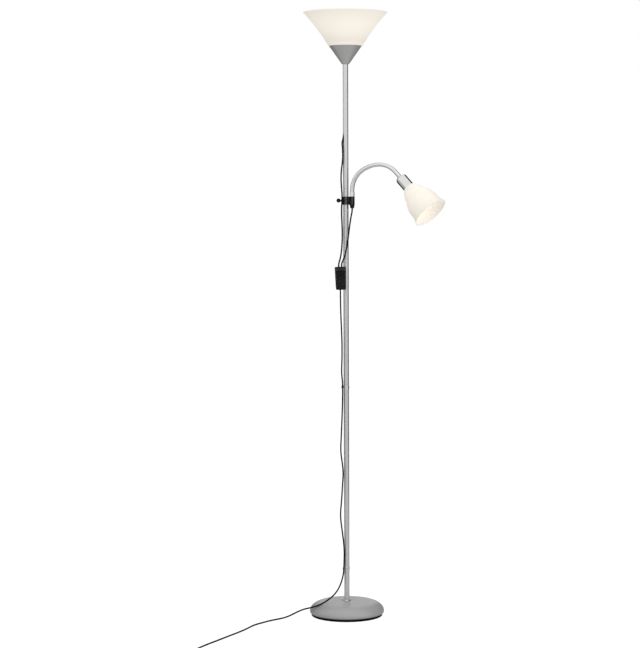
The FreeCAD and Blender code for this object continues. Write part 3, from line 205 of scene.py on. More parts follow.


# Materials: each has a base and a fine grain in colour and roughness, and most a bump of their own

def newMaterial(
    name, colour, roughness, sockets=(), spread=0.04, scale=60.0, bump=0.0, bumpScale=900.0, stretch=1.0,
):
    material, tree, shader = plainMaterial(name, roughness)
    place = addNode(tree, "ShaderNodeTexCoord").outputs["Object"]
    if stretch != 1.0:
        mapping = addNode(tree, "ShaderNodeMapping", {"Vector": place}, {"Scale": (1, 1, stretch)})
        place = mapping.outputs["Vector"]
    cloud = addNoise(tree, place, scale, 4)
    light = [min(part * (1 + spread), 1) for part in colour]
    dark = [part * (1 - spread) for part in colour]
    mix = addNode(tree, "ShaderNodeMix", {"Factor": cloud}, {
        "A": (*dark, 1), "B": (*light, 1),
    }, data_type="RGBA")
    tree.links.new(mix.outputs["Result"], shader.inputs["Base Color"])
    rough = addNode(tree, "ShaderNodeMapRange", {"Value": cloud}, {
        "To Min": roughness * 0.85, "To Max": roughness * 1.15,
    })
    tree.links.new(rough.outputs["Result"], shader.inputs["Roughness"])
    for socket, value in dict(sockets).items():
        shader.inputs[socket].default_value = value
    if bump:
        fine = addNoise(tree, place, bumpScale, 2)
        relief = addNode(tree, "ShaderNodeBump", {"Height": fine}, {"Strength": 1.0, "Distance": bump})
        tree.links.new(relief.outputs["Normal"], shader.inputs["Normal"])
    return material


def addPaintedGlow(material, centre, squash, reach, low, high):
    # Painted glow: an emission on the shade stands in for the bulb's light shining through it, brightest near
    # the bulb; it stays on the piece
    tree = material.node_tree
    material.cycles.emission_sampling = "NONE"
    way = addNode(tree, "ShaderNodeTexCoord").outputs["Object"]
    for operation, other in (("SUBTRACT", centre), ("MULTIPLY", squash)):
        moved = addNode(tree, "ShaderNodeVectorMath", {0: way}, {1: other}, operation=operation)
        way = moved.outputs["Vector"]
    far = addNode(tree, "ShaderNodeVectorMath", {0: way}, operation="LENGTH").outputs["Value"]
    fade = addNode(tree, "ShaderNodeMapRange", {"Value": far}, {
        "From Max": reach, "To Min": high, "To Max": low,
    }, interpolation_type="SMOOTHSTEP")
    tree.links.new(fade.outputs["Result"], tree.nodes["Principled BSDF"].inputs["Emission Strength"])


silverPaint = newMaterial(
    "silverPaint", (0.38, 0.385, 0.38), 0.42, {"Metallic": 0.15, "Specular IOR Level": 0.35},
    spread=0.03, scale=700, bump=0.00002, bumpScale=2500,
)
poleMetal = newMaterial(
    "poleMetal", (0.66, 0.66, 0.66), 0.24, {"Metallic": 0.85}, spread=0.02, scale=300,
    bump=0.000003, bumpScale=1500, stretch=0.06,
)
cupMetal = newMaterial(
    "cupMetal", (0.5, 0.5, 0.495), 0.4, {"Metallic": 0.3, "Specular IOR Level": 0.3},
    spread=0.04, scale=400, bump=0.00001, bumpScale=2200,
)
brightSteel = newMaterial(
    "brightSteel", (0.74, 0.74, 0.735), 0.13, {"Metallic": 1.0}, spread=0.02, scale=500,
    bump=0.000002, bumpScale=2600,
)
hoseSteel = newMaterial(
    "hoseSteel", (0.78, 0.78, 0.78), 0.22, {"Metallic": 1.0}, spread=0.03, scale=260,
    bump=0.000002, bumpScale=2400,
)
zincSteel = newMaterial(
    "zincSteel", (0.55, 0.55, 0.56), 0.4, {"Metallic": 1.0}, spread=0.12, scale=180,
    bump=0.00002, bumpScale=1200,
)
blackSteel = newMaterial(
    "blackSteel", (0.02, 0.02, 0.021), 0.35, {"Metallic": 0.6}, spread=0.1, scale=180,
    bump=0.00001, bumpScale=1200,
)
castIron = newMaterial(
    "castIron", (0.06, 0.06, 0.062), 0.75, {"Metallic": 0.4}, spread=0.25, scale=90,
    bump=0.0004, bumpScale=420,
)
brassMetal = newMaterial(
    "brassMetal", (0.72, 0.52, 0.24), 0.3, {"Metallic": 1.0}, spread=0.08, scale=240,
)
warmGlow = (1.0, 0.955, 0.85, 1)
# The opal shade and bell carry painted light: a warm emission that stands in for the lit bulb's light through
# them
opalShade = newMaterial(
    "opalShade", (0.52, 0.475, 0.43), 0.45, {
        "Subsurface Weight": 0.15, "Subsurface Scale": 0.003, "Specular IOR Level": 0.25,
        "Emission Color": warmGlow,
    }, spread=0.01, scale=30, bump=0.00001, bumpScale=1400,
)
opalGlass = newMaterial(
    "opalGlass", (0.46, 0.42, 0.385), 0.3, {
        "Subsurface Weight": 0.1, "Subsurface Scale": 0.003, "Specular IOR Level": 0.3,
        "Emission Color": warmGlow,
    }, spread=0.01, scale=24, bump=0.000006, bumpScale=900,
)
frostedGlass = newMaterial(
    "frostedGlass", (0.93, 0.93, 0.92), 0.35, {
        "Transmission Weight": 0.2, "Subsurface Weight": 0.1,
        "Emission Color": warmGlow, "Emission Strength": 0.8,
    }, spread=0.01, scale=60, bump=0.000006, bumpScale=2600,
)
capAluminium = newMaterial(
    "capAluminium", (0.78, 0.78, 0.78), 0.28, {"Metallic": 1.0}, spread=0.04, scale=300,
)
whitePlastic = newMaterial(
    "whitePlastic", (0.8, 0.8, 0.78), 0.36, {"Coat Weight": 0.1}, spread=0.015, scale=200,
    bump=0.00002, bumpScale=1800,
)
blackPlastic = newMaterial(
    "blackPlastic", (0.004, 0.004, 0.0044), 0.22, {"Specular IOR Level": 0.14}, spread=0.1, scale=260,
    bump=0.00003, bumpScale=2200,
)
switchPlastic = newMaterial(
    "switchPlastic", (0.003, 0.003, 0.0034), 0.24, {"Specular IOR Level": 0.14}, spread=0.1, scale=300,
    bump=0.00002, bumpScale=2600,
)
linerPlastic = newMaterial("linerPlastic", (0.4, 0.4, 0.4), 0.5, spread=0.04, scale=300, bump=0.00002)
clipPlastic = newMaterial(
    "clipPlastic", (0.97, 0.97, 0.965), 0.04, {"Transmission Weight": 1.0, "IOR": 1.16},
    spread=0.01, scale=200,
)
cordSheath = newMaterial(
    "cordSheath", (0.004, 0.004, 0.0044), 0.4, {"Specular IOR Level": 0.1}, spread=0.12, scale=500,
    bump=0.00003, bumpScale=1500,
)
footRubberAndShade = newMaterial(
    "footRubberAndShade", (0.004, 0.004, 0.0044), 0.6, {"Specular IOR Level": 0.04}, spread=0.15, scale=200,
    bump=0.00006, bumpScale=900,
)
padFoam = newMaterial(
    "padFoam", (0.03, 0.03, 0.032), 0.9, {"Specular IOR Level": 0.2}, spread=0.3, scale=900,
    bump=0.0002, bumpScale=1600,
)
print("materials made:", len(bpy.data.materials))


# Makers of shapes; places are in millimetres and become metres here

shapeSet = {
    "merge": 0.000002,
    "arcStep": 4,
    "leastArcSteps": 5,
    "leastCorner": 25,
    "cornerSteps": 4,
    "trimShare": 0.45,
    "guardShare": 0.49,
    "onAxis": 0.001,
}


def finishPiece(piece, material, body, replaced, sharp=40):
    piece.data.materials.clear()
    piece.data.materials.append(material)
    if piece.type == "MESH":
        piece.data.shade_smooth()
        piece.data.set_sharp_from_angle(angle=math.radians(sharp))
    if material in (blackPlastic, switchPlastic):
        glossyBlacks.objects.link(piece)
    if body:
        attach(piece, body)
    if replaced:
        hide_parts(*replaced)


def raised(height):
    return Matrix.Translation((0, 0, height / 1000))


def meshPiece(name, vertices, faces):
    return addMesh(name, [Vector(vertex) / 1000 for vertex in vertices], [], faces)


def cleanMesh(piece):
    work = bmesh.new()
    work.from_mesh(piece.data)
    bmesh.ops.remove_doubles(work, verts=work.verts, dist=shapeSet["merge"])
    bmesh.ops.recalc_face_normals(work, faces=work.faces)
    work.to_mesh(piece.data)
    work.free()
    return piece


def arcCentre(first, last, radius):
    chord = last - first
    left = Vector((-chord.y, chord.x)).normalized()
    rise = math.sqrt(max(radius * radius - chord.length_squared / 4, 0))
    return (first + last) / 2 + left * math.copysign(rise, radius)


def arcPoints(start, end, radius):
    first, last = Vector(start), Vector(end)
    centre = arcCentre(first, last, radius)
    begin = math.atan2(first.y - centre.y, first.x - centre.x)
    finish = math.atan2(last.y - centre.y, last.x - centre.x)
    turn = (finish - begin + math.pi) % (2 * math.pi) - math.pi
    steps = max(int(abs(turn) / math.radians(shapeSet["arcStep"])), shapeSet["leastArcSteps"])
    angles = [begin + turn * step / steps for step in range(1, steps)]
    return [centre + Vector((math.cos(angle), math.sin(angle))) * abs(radius) for angle in angles]


def fullOutline(outline, softness=0.0):
    points = []
    for index, row in enumerate(outline):
        points.append(Vector(row[:2]))
        if len(row) > 2:
            points += arcPoints(row[:2], outline[(index + 1) % len(outline)][:2], row[2])
    return softened(points, softness) if softness else points


def softened(points, radius):
    soft = []
    count, steps = len(points), shapeSet["cornerSteps"]
    most, guard = shapeSet["trimShare"], shapeSet["guardShare"]
    for index, corner in enumerate(points):
        before = points[index - 1] - corner
        after = points[(index + 1) % count] - corner
        turn = math.pi - before.angle(after)
        if turn < math.radians(shapeSet["leastCorner"]) or corner.x < shapeSet["onAxis"]:
            soft.append(corner)
            continue
        trim = min(radius * math.tan(turn / 2), most * before.length, most * after.length)
        start = corner + before.normalized() * trim
        end = corner + after.normalized() * trim
        # A guard point on each side keeps the rounded edge from tilting the normals of the long faces
        soft.append(corner + before.normalized() * min(2 * trim, guard * before.length))
        for step in range(steps + 1):
            share = step / steps
            soft.append(start * (1 - share) ** 2 + corner * 2 * share * (1 - share) + end * share ** 2)
        soft.append(corner + after.normalized() * min(2 * trim, guard * after.length))
    return soft


def lathe(name, outline, softness=0.3, place=None, around=96):
    points = fullOutline(outline, softness)
    vertices = []
    for step in range(around):
        angle = 2 * math.pi * step / around
        vertices += [(point.x * math.cos(angle), point.x * math.sin(angle), point.y) for point in points]
    count = len(points)
    least = shapeSet["onAxis"]
    rows = [row for row in range(count) if max(points[row].x, points[(row + 1) % count].x) > least]
    faces = []
    for step in range(around):
        here, there = step * count, (step + 1) % around * count
        for row in rows:
            following = (row + 1) % count
            faces.append((here + row, there + row, there + following, here + following))
    piece = meshPiece(name, vertices, faces)
    if place:
        piece.data.transform(place)
    return cleanMesh(piece)


def roundedCopy(name, nodeName, voxel, smoothing):
    piece = addObject(name, nodes[nodeName].data.copy())
    cleanMesh(piece)
    remesh = piece.modifiers.new("even", "REMESH")
    remesh.mode = "VOXEL"
    remesh.voxel_size = voxel / 1000
    smooth = piece.modifiers.new("soft", "SMOOTH")
    smooth.factor = 0.5
    smooth.iterations = smoothing
    return applied(piece)


def applied(piece):
    mesh = bpy.data.meshes.new_from_object(piece.evaluated_get(bpy.context.evaluated_depsgraph_get()))
    piece.modifiers.clear()
    old = piece.data
    piece.data = mesh
    mesh.name = piece.name
    if old.users == 0 and isinstance(old, bpy.types.Mesh):
        bpy.data.meshes.remove(old)
    return piece


def sweptTube(name, points, radius, sides=20):
    path = [Vector(point) for point in points]
    ways = [(path[min(i + 1, len(path) - 1)] - path[max(i - 1, 0)]).normalized() for i in range(len(path))]
    side = ways[0].orthogonal().normalized()
    vertices = []
    for index, (point, way) in enumerate(zip(path, ways)):
        side = (side - way * side.dot(way)).normalized()
        up = way.cross(side)
        reach = radius(index) if callable(radius) else radius
        for step in range(sides):
            angle = 2 * math.pi * step / sides
            vertices.append(point + side * reach * math.cos(angle) + up * reach * math.sin(angle))
    faces = [tuple(range(sides))[::-1]]
    for index in range(len(path) - 1):
        for step in range(sides):
            following = (step + 1) % sides
            here, there = index * sides, (index + 1) * sides
            faces.append((here + step, here + following, there + following, there + step))
    faces.append(tuple(range((len(path) - 1) * sides, len(path) * sides)))
    return meshPiece(name, vertices, faces)


def keepNode(nodeName, material):
    materials = nodes[nodeName].data.materials
    materials.clear()
    materials.append(material)


# Cords: points in metres, as in the CAD route

cordSet = {
    "diameter": 0.0046,
    "order": 3,
    "resolution": 6,
    "bevelSteps": 5,
    "insidePole": [(0, 0, 1.6662), (0, 0, 1.447), (-0.00864, -0.0044, 1.416)],
    "upper": [
        (-0.00864, -0.0044, 1.416), (-0.01104, -0.00562, 1.40741), (-0.0099, -0.0062, 1.397),
        (-0.0085, -0.0076, 1.374), (-0.0094, -0.0074, 1.352), (-0.0129, -0.0066, 1.328),
        (-0.0144, -0.0074, 1.302), (-0.0131, -0.0088, 1.278), (-0.0109, -0.0107, 1.252),
        (-0.0119, -0.0106, 1.226), (-0.013, -0.0104, 1.202), (-0.012, -0.0106, 1.174),
        (-0.0107, -0.011, 1.144), (-0.0111, -0.0114, 1.113), (-0.0133, -0.013, 1.083),
        (-0.0178, -0.0154, 1.059), (-0.02208, -0.017, 1.04714), (-0.02182, -0.017, 1.03814),
    ],
    "reading": [
        (0.01883, -0.01176, 1.212), (0.01883, -0.01176, 1.203), (0.0152, -0.0126, 1.187),
        (0.0116, -0.0134, 1.163), (0.008, -0.0134, 1.136), (0.0049, -0.0132, 1.11),
        (0.0006, -0.0134, 1.086), (-0.0056, -0.0148, 1.065), (-0.0102, -0.0162, 1.054),
        (-0.01319, -0.017, 1.0474), (-0.01292, -0.017, 1.03841),
    ],
    "readingSplit": 1.175,
    "readingZones": [(1.21, 1.178), (1.174, 1.042)],
    "mains": [
        (-0.01708, -0.017, 0.96965), (-0.01681, -0.017, 0.96066), (-0.0169, -0.0164, 0.951),
        (-0.0164, -0.0132, 0.926), (-0.016, -0.0118, 0.897), (-0.0142, -0.011, 0.857),
        (-0.0125, -0.0104, 0.808), (-0.0127, -0.0094, 0.762), (-0.0145, -0.0076, 0.722),
        (-0.0112, -0.005, 0.694), (-0.011, -0.0049, 0.664), (-0.0118, -0.007, 0.622),
        (-0.0136, -0.0084, 0.578), (-0.0156, -0.0086, 0.53), (-0.0179, -0.0082, 0.49),
        (-0.013, -0.0094, 0.455), (-0.0096, -0.0102, 0.424), (-0.0124, -0.0096, 0.386),
        (-0.015, -0.009, 0.342), (-0.0196, -0.0084, 0.296), (-0.0129, -0.0086, 0.246),
        (-0.0072, -0.009, 0.198), (-0.0082, -0.008, 0.154), (-0.0096, -0.0082, 0.126),
        (-0.0146, -0.0112, 0.104), (-0.0238, -0.0166, 0.0815), (-0.0372, -0.024, 0.064),
        (-0.0585, -0.0365, 0.0489), (-0.0805, -0.0465, 0.0386), (-0.104, -0.05, 0.0318),
        (-0.129, -0.048, 0.0266), (-0.152, -0.0474, 0.016), (-0.172, -0.0496, 0.0062),
        (-0.192, -0.061, 0.0024), (-0.222, -0.086, 0.0024), (-0.247, -0.117, 0.0024),
        (-0.272, -0.15, 0.0024), (-0.289, -0.197, 0.0024), (-0.311, -0.243, 0.0024),
        (-0.338, -0.292, 0.0024), (-0.365, -0.344, 0.0024), (-0.39, -0.389, 0.0024),
        (-0.417, -0.446, 0.0024), (-0.428, -0.5, 0.0024), (-0.45734, -0.52728, 0.0024),
    ],
    "coilMiddle": (-0.455, -0.56, 0.0024),
    "coilInner": 0.0205,
    "coilPitch": 0.0054,
    "coilTurns": 2,
    "coilStart": 110,
    "pointsPerTurn": 16,
    "tail": [
        (-0.43576, -0.58657, 0.0078), (-0.41488, -0.58278, 0.00685), (-0.39623, -0.58183, 0.00685),
        (-0.37852, -0.58436, 0.00685),
    ],
}


def coilPoints():
    middle = Vector(cordSet["coilMiddle"])
    pitch, turns, perTurn = cordSet["coilPitch"], cordSet["coilTurns"], cordSet["pointsPerTurn"]
    total = 2 * turns + 0.5
    points = []
    for step in range(int(total * perTurn) + 1):
        turn = step / perTurn
        climb = min(max((turn - turns) / 0.5, 0), 1)
        reach = cordSet["coilInner"] + pitch * (abs(turn - turns - 0.25) - 0.25)
        angle = math.radians(cordSet["coilStart"] + 360 * turn)
        height = pitch * climb * climb * (3 - 2 * climb)
        points.append(middle + Vector((reach * math.cos(angle), reach * math.sin(angle), height)))
    return points


def cordCurve(name, points, thickness=cordSet["diameter"] / 2):
    data = bpy.data.curves.new(name, "CURVE")
    data.dimensions = "3D"
    spline = data.splines.new("NURBS")
    spline.points.add(len(points) - 1)
    for knot, point in zip(spline.points, points):
        knot.co = (*point, 1)
    spline.order_u = cordSet["order"]
    spline.use_endpoint_u = True
    spline.resolution_u = cordSet["resolution"]
    data.bevel_depth = thickness
    data.bevel_resolution = cordSet["bevelSteps"]
    data.use_fill_caps = True
    return addObject(name, data)


def centreLine(points):
    line = cordCurve("routeLine", points, 0)
    mesh = bpy.data.meshes.new_from_object(line.evaluated_get(bpy.context.evaluated_depsgraph_get()))
    found = [vertex.co.copy() for vertex in mesh.vertices]
    bpy.data.meshes.remove(mesh)
    bpy.data.objects.remove(line)
    return found


def lineLength(points):
    return sum((after - before).length for before, after in zip(points, points[1:]))


def addCords():
    radius = cordSet["diameter"] / 2
    inside = cordCurve("poleWire", cordSet["insidePole"])
    finishPiece(inside, cordSheath, "stand", ["pole_wire"])
    upper = cordCurve("upperCord", cordSet["upper"])
    finishPiece(upper, cordSheath, "stand", ["cord_upper"])
    mainsRoute = cordSet["mains"] + coilPoints() + cordSet["tail"]
    mains = cordCurve("mainsCord", mainsRoute)
    finishPiece(mains, cordSheath, "stand", ["cord_mains", "cord_coil", "cord_tail"])
    reading = centreLine(cordSet["reading"])
    split = next(i for i, point in enumerate(reading) if point.z < cordSet["readingSplit"])
    halves = {"readingCordTop": reading[:split + 1], "readingCordLower": reading[split:]}
    made = {}
    for name, line in halves.items():
        made[name] = sweptTube(name, [point * 1000 for point in line], radius * 1000)
        finishPiece(made[name], cordSheath, None, (), 60)
    joined = (("readingCordTop", "clamp", "clamp_slider"), ("readingCordLower", "clamp_slider", "stand"))
    for (name, above, below), (high, low) in zip(joined, cordSet["readingZones"]):
        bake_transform(made[name])
        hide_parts("cord_reading")
    lineLength(centreLine(cordSet["upper"]))
    lineLength(centreLine(mainsRoute))
    print("mains cord:", round(lineLength(centreLine(mainsRoute)), 3), "m")


# Geometry Nodes helpers: a tree with named inputs, baked to a plain mesh and taken off again

def newTree(name, inputs):
    tree = bpy.data.node_groups.new(name, "GeometryNodeTree")
    tree.is_modifier = True
    tree.interface.new_socket("Geometry", in_out="INPUT", socket_type="NodeSocketGeometry")
    for label, kind in inputs:
        tree.interface.new_socket(label, in_out="INPUT", socket_type="NodeSocket" + kind)
    tree.interface.new_socket("Geometry", in_out="OUTPUT", socket_type="NodeSocketGeometry")
    return tree, tree.nodes.new("NodeGroupInput")


def closeTree(tree, geometry, material):
    real = addNode(tree, "GeometryNodeRealizeInstances", {"Geometry": geometry})
    dressed = addNode(tree, "GeometryNodeSetMaterial", {"Geometry": real.outputs[0], "Material": material})
    addNode(tree, "NodeGroupOutput", {"Geometry": dressed.outputs[0]})


def growNodes(piece, tree, values):
    modifier = piece.modifiers.new(tree.name, "NODES")
    modifier.node_group = tree
    for item in tree.interface.items_tree:
        if item.in_out == "INPUT" and item.name in values:
            modifier[item.identifier] = values[item.name]
    applied(piece)


# Foot: spun cover over an iron weight, black ring below, which also stands in as painted shade for the shadow
# under the cover's lip

footSet = {
    "coverRadius": 110.7,
    "coverSheet": 1.2,
    "lipRadius": 5,
    "rimRadius": 21.5,
    "shoulderRadius": 41,
    "rimAngle": 45,
    "crownAngle": 4.75,
    "dimpleRadius": 14.5,
    "dimpleDepth": 1,
    "dimpleEdge": 2,
    "studHole": 5.3,
    "ringRadius": 105.5,
    "ringWidth": 8.5,
    "ringHeight": 7,
    "padRadius": 96.7,
    "padThickness": 2,
    "poleRingRadius": 10,
    "poleRingHeight": 3,
    "poleRingBore": 8.05,
}


def footLevels():
    across = footSet["coverRadius"] - footSet["rimRadius"]
    rim = Vector((across, footSet["ringHeight"] + footSet["lipRadius"]))
    rimAngle, crownAngle = math.radians(footSet["rimAngle"]), math.radians(footSet["crownAngle"])
    rimWay = Vector((math.sin(rimAngle), math.cos(rimAngle)))
    crownWay = Vector((math.sin(crownAngle), math.cos(crownAngle)))
    shoulder = rim + rimWay * (footSet["rimRadius"] - footSet["shoulderRadius"])
    reach = shoulder.x / math.sin(crownAngle) + footSet["shoulderRadius"]
    crown = shoulder.y + (footSet["shoulderRadius"] - reach) * math.cos(crownAngle)
    return rim, rimWay, shoulder, crownWay, crown, reach


def crownHeight(radius, depth=0.0):
    crown, reach = footLevels()[4:]
    return crown + math.sqrt((reach - depth) ** 2 - radius ** 2)


dimpleFloor = crownHeight(footSet["dimpleRadius"]) - footSet["dimpleDepth"]


def addFoot():
    rim, rimWay, shoulder, crownWay, _, reach = footLevels()
    sheet, height, lip = footSet["coverSheet"], footSet["ringHeight"], footSet["lipRadius"]
    hole, dimple, edge = footSet["studHole"], footSet["dimpleRadius"], footSet["dimpleEdge"]
    outer = footSet["coverRadius"]
    soft, hard = footSet["shoulderRadius"], footSet["rimRadius"]
    outline = [
        (hole, dimpleFloor),
        (dimple - edge, dimpleFloor),
        (dimple, crownHeight(dimple), -reach),
        (*(shoulder + crownWay * soft), -soft),
        (*(rim + rimWay * hard), -hard),
        (outer, height + lip, -lip),
        (outer - lip, height),
        (outer - lip - sheet, height),
        (outer - lip - sheet, height + sheet),
        (outer - lip, height + sheet, lip - sheet),
        (outer - sheet, height + lip, hard - sheet),
        (*(rim + rimWay * (hard - sheet)), soft - sheet),
        (*(shoulder + crownWay * (soft - sheet)), reach - sheet),
        (dimple + sheet, crownHeight(dimple + sheet, sheet)),
        (dimple - edge + sheet, dimpleFloor - sheet),
        (hole, dimpleFloor - sheet),
    ]
    cover = lathe("footCover", outline, 0.5, around=160)
    finishPiece(cover, silverPaint, "stand", ["base_cover"], 50)
    # The black ring is partly real trim and partly painted shade: its height and black stand in for the
    # shadow under the cover's lip
    wide, deep = footSet["ringRadius"], footSet["ringWidth"]
    ring = lathe("footRing", [
        (wide - deep, 0), (wide, 0), (wide, height), (wide - deep, height),
    ], 0.9, around=160)
    finishPiece(ring, footRubberAndShade, "stand", ["foot_ring"], 50)
    wide, thick = footSet["padRadius"], footSet["padThickness"]
    pad = lathe("footPad", [(0, 0), (wide, 0), (wide, thick), (0, thick)], 0.6, around=128)
    finishPiece(pad, padFoam, "stand", ["base_pad"], 50)
    bore, across, tall = footSet["poleRingBore"], footSet["poleRingRadius"], footSet["poleRingHeight"]
    half, top = dimpleFloor + tall / 2, dimpleFloor + tall
    poleRing = lathe("poleFootRing", [
        (bore, dimpleFloor), (across, dimpleFloor), (across, half, tall / 2),
        (across - tall / 2, top), (bore, top),
    ], 0.25, around=64)
    finishPiece(poleRing, brightSteel, "stand", ["pole_foot_ring"], 50)
    keepNode("base_weight", castIron)
    keepNode("base_nut", zincSteel)
    keepNode("pole_stud", zincSteel)


addFoot()
print("foot done")


# Pole: four tubes on couplers, with fine edges at the joints

poleSet = {
    "radius": 8,
    "wall": 1,
    "joints": [451, 861, 1271],
    "top": 1642.2,
    "edge": 0.35,
    "slotRadius": 3.35,
    "slotDirection": 207,
    "slotReach": 9.7,
    "slotHeight": 1416,
    "slotRise": 31,
    "slotDrop": 8,
}


def outletPlace():
    lean = math.atan2(poleSet["slotReach"], poleSet["slotRise"])
    turn = Matrix.Rotation(math.radians(poleSet["slotDirection"]), 4, "Z")
    end = Matrix.Translation(Vector((poleSet["slotReach"], 0, poleSet["slotHeight"])) / 1000)
    return turn @ end @ Matrix.Rotation(math.pi - lean, 4, "Y")


def addPole():
    outer, inner, edge = poleSet["radius"], poleSet["radius"] - poleSet["wall"], poleSet["edge"]
    levels = [dimpleFloor, *poleSet["joints"], poleSet["top"]]
    for number, (low, high) in enumerate(zip(levels, levels[1:]), 1):
        outline = [(inner, low), (outer, low), (outer, high), (inner, high)]
        section = lathe(f"poleTube{number}", outline, edge, around=96)
        if number == len(levels) - 1:
            cutSlot(section)
        finishPiece(section, poleMetal, "stand", [f"pole_section_{number}"], 30)
    for part in ("coupler_1", "coupler_2", "coupler_3", "bottom_insert", "top_insert"):
        keepNode(f"pole_{part}", zincSteel)
    keepNode("cord_grommet", blackPlastic)


def cutSlot(section):
    rise, drop, wide = poleSet["slotRise"], poleSet["slotDrop"], poleSet["slotRadius"]
    drill = lathe("slotDrill", [(0, -rise), (wide, -rise), (wide, drop), (0, drop)], 0, around=48)
    drill.data.transform(outletPlace())
    side = Matrix.Rotation(math.radians(poleSet["slotDirection"]), 4, "Z")
    low = poleSet["slotHeight"] - rise
    work = bmesh.new()
    work.from_mesh(drill.data)
    keep = side @ Vector((0.001, 0, low / 1000))
    away = side @ Vector((-1, 0, 0))
    cut = bmesh.ops.bisect_plane(
        work, geom=work.verts[:] + work.edges[:] + work.faces[:],
        plane_co=keep, plane_no=away, clear_outer=True,
    )
    rim = [item for item in cut["geom_cut"] if isinstance(item, bmesh.types.BMEdge)]
    bmesh.ops.edgeloop_fill(work, edges=rim)
    bmesh.ops.recalc_face_normals(work, faces=work.faces)
    work.to_mesh(drill.data)
    work.free()
    carve = section.modifiers.new("slot", "BOOLEAN")
    carve.operation = "DIFFERENCE"
    carve.object = drill
    carve.solver = "EXACT"
    applied(section)
    bpy.data.objects.remove(drill)


addPole()
print("pole done")


# Upper head: cup, shade, lampholder and bulb

upperSet = {
    "cupBottom": 1642.2,
    "cupBottomRadius": 11,
    "cupTopRadius": 49,
    "cupHole": 5.3,
    "cupSheet": 1.2,
    "cupSheetLow": 0.6,
    "cupFloor": 1.5,
    "seat": 1696.4,
    "shadeBottomRadius": 50.8,
    "shadeTop": 1797.2,
    "shadeTopRadius": 126,
    "shadeArc": 560,
    "shadeWall": 2,
    "rimRows": (1, 0.7, 1.8, 2.48),
    "discHole": 20.3,
    "grooveHeight": 8.9,
    "grooveDepth": 0.35,
    "grooveWidth": 1.2,
    "holderRing": (20.05, 27, 6),
    "holderRadii": (5.05, 19.5, 25, 20, 13.6),
    "holderLevels": (-38, -2, 9, -30),
    "holderThread": (1.6, 0.5),
    "bulbCap": (13.2, 25),
    "bulbNeck": (14.5, 9),
    "bulbRadius": 30,
    "bulbLength": 84,
    "bulbRise": 9,
    "ringRibs": 48,
    "ringRibRadius": 0.55,
    "glowHeight": 1.757,
    "glow": (0.065, 0.5, 0.6),
}


def addUpperHead():
    seat, wall, top = upperSet["seat"], upperSet["shadeWall"], upperSet["shadeTop"]
    low, wide = upperSet["cupBottomRadius"], upperSet["cupTopRadius"]
    bottom, hole = upperSet["cupBottom"], upperSet["cupHole"]
    floor = bottom + upperSet["cupFloor"]
    cup = lathe("upperCup", [
        (hole, bottom), (low, bottom), (wide, seat), (wide - upperSet["cupSheet"], seat),
        (low - upperSet["cupSheetLow"], floor), (hole, floor),
    ], 0.5, around=128)
    finishPiece(cup, cupMetal, "stand", ["upper_cup"], 40)
    start, end = upperSet["shadeBottomRadius"], upperSet["shadeTopRadius"]
    arc = upperSet["shadeArc"]
    rim, outside, inside, within = upperSet["rimRows"]
    centre = arcCentre(Vector((start, seat)), Vector((end, top - rim)), -arc)
    groove, half = seat + upperSet["grooveHeight"], upperSet["grooveWidth"] / 2

    def side(height):
        return centre.x - math.sqrt(arc ** 2 - (height - centre.y) ** 2)

    shade = lathe("upperShade", [
        (upperSet["discHole"], seat), (start, seat, -arc), (side(groove - half), groove - half),
        (side(groove) - upperSet["grooveDepth"], groove), (side(groove + half), groove + half, -arc),
        (end, top - rim), (end - outside, top), (end - inside, top), (end - within, top - rim, arc + wall),
        (start - 1, seat + wall), (upperSet["discHole"], seat + wall),
    ], 0.6, around=192)
    finishPiece(shade, opalShade, "stand", ["upper_shade"], 40)
    # The upper shade's painted glow: emission standing in for the bulb light through it
    addPaintedGlow(opalShade, (0, 0, upperSet["glowHeight"]), (0, 0, 1), *upperSet["glow"])
    bore, radius, tall = upperSet["holderRing"]
    place = raised(seat + wall)
    addGripRing("upperHolderRing", bore, radius, tall, place, "stand", "upper_holder_ring")
    onSeat = raised(seat)
    addHolder("upperLampholder", upperSet, onSeat, "stand", "upper_lampholder")
    addBulb("upper", upperSet, onSeat, "stand")
    keepNode("upper_nipple", brassMetal)
    keepNode("upper_nut", zincSteel)


def threadRows(radius, low, high, pitch, depth):
    rows = []
    level = low
    while level + pitch <= high + 0.001:
        rows += [
            (radius - depth, level + 0.05 * pitch), (radius, level + 0.4 * pitch),
            (radius, level + 0.6 * pitch), (radius - depth, level + 0.95 * pitch),
        ]
        level += pitch
    return rows


bulbSet = {
    "threadMargin": 1.5,
    "threadPitch": 3.0,
    "threadDepth": 0.8,
    "ballStart": 20,
    "wall": 1,
}


def addHolder(name, sizes, seat, body, nodeName):
    hole, across, flange, thread, bore = sizes["holderRadii"]
    foot, ledge, top, floor = sizes["holderLevels"]
    holder = lathe(name, [
        (hole, foot), (across, foot), (across, ledge), (flange, ledge), (flange, 0),
        *threadRows(thread, 0, top, *sizes["holderThread"]), (bore, top), (bore, floor), (hole, floor),
    ], 0.3, seat, 72)
    finishPiece(holder, whitePlastic, body, [nodeName], 50)


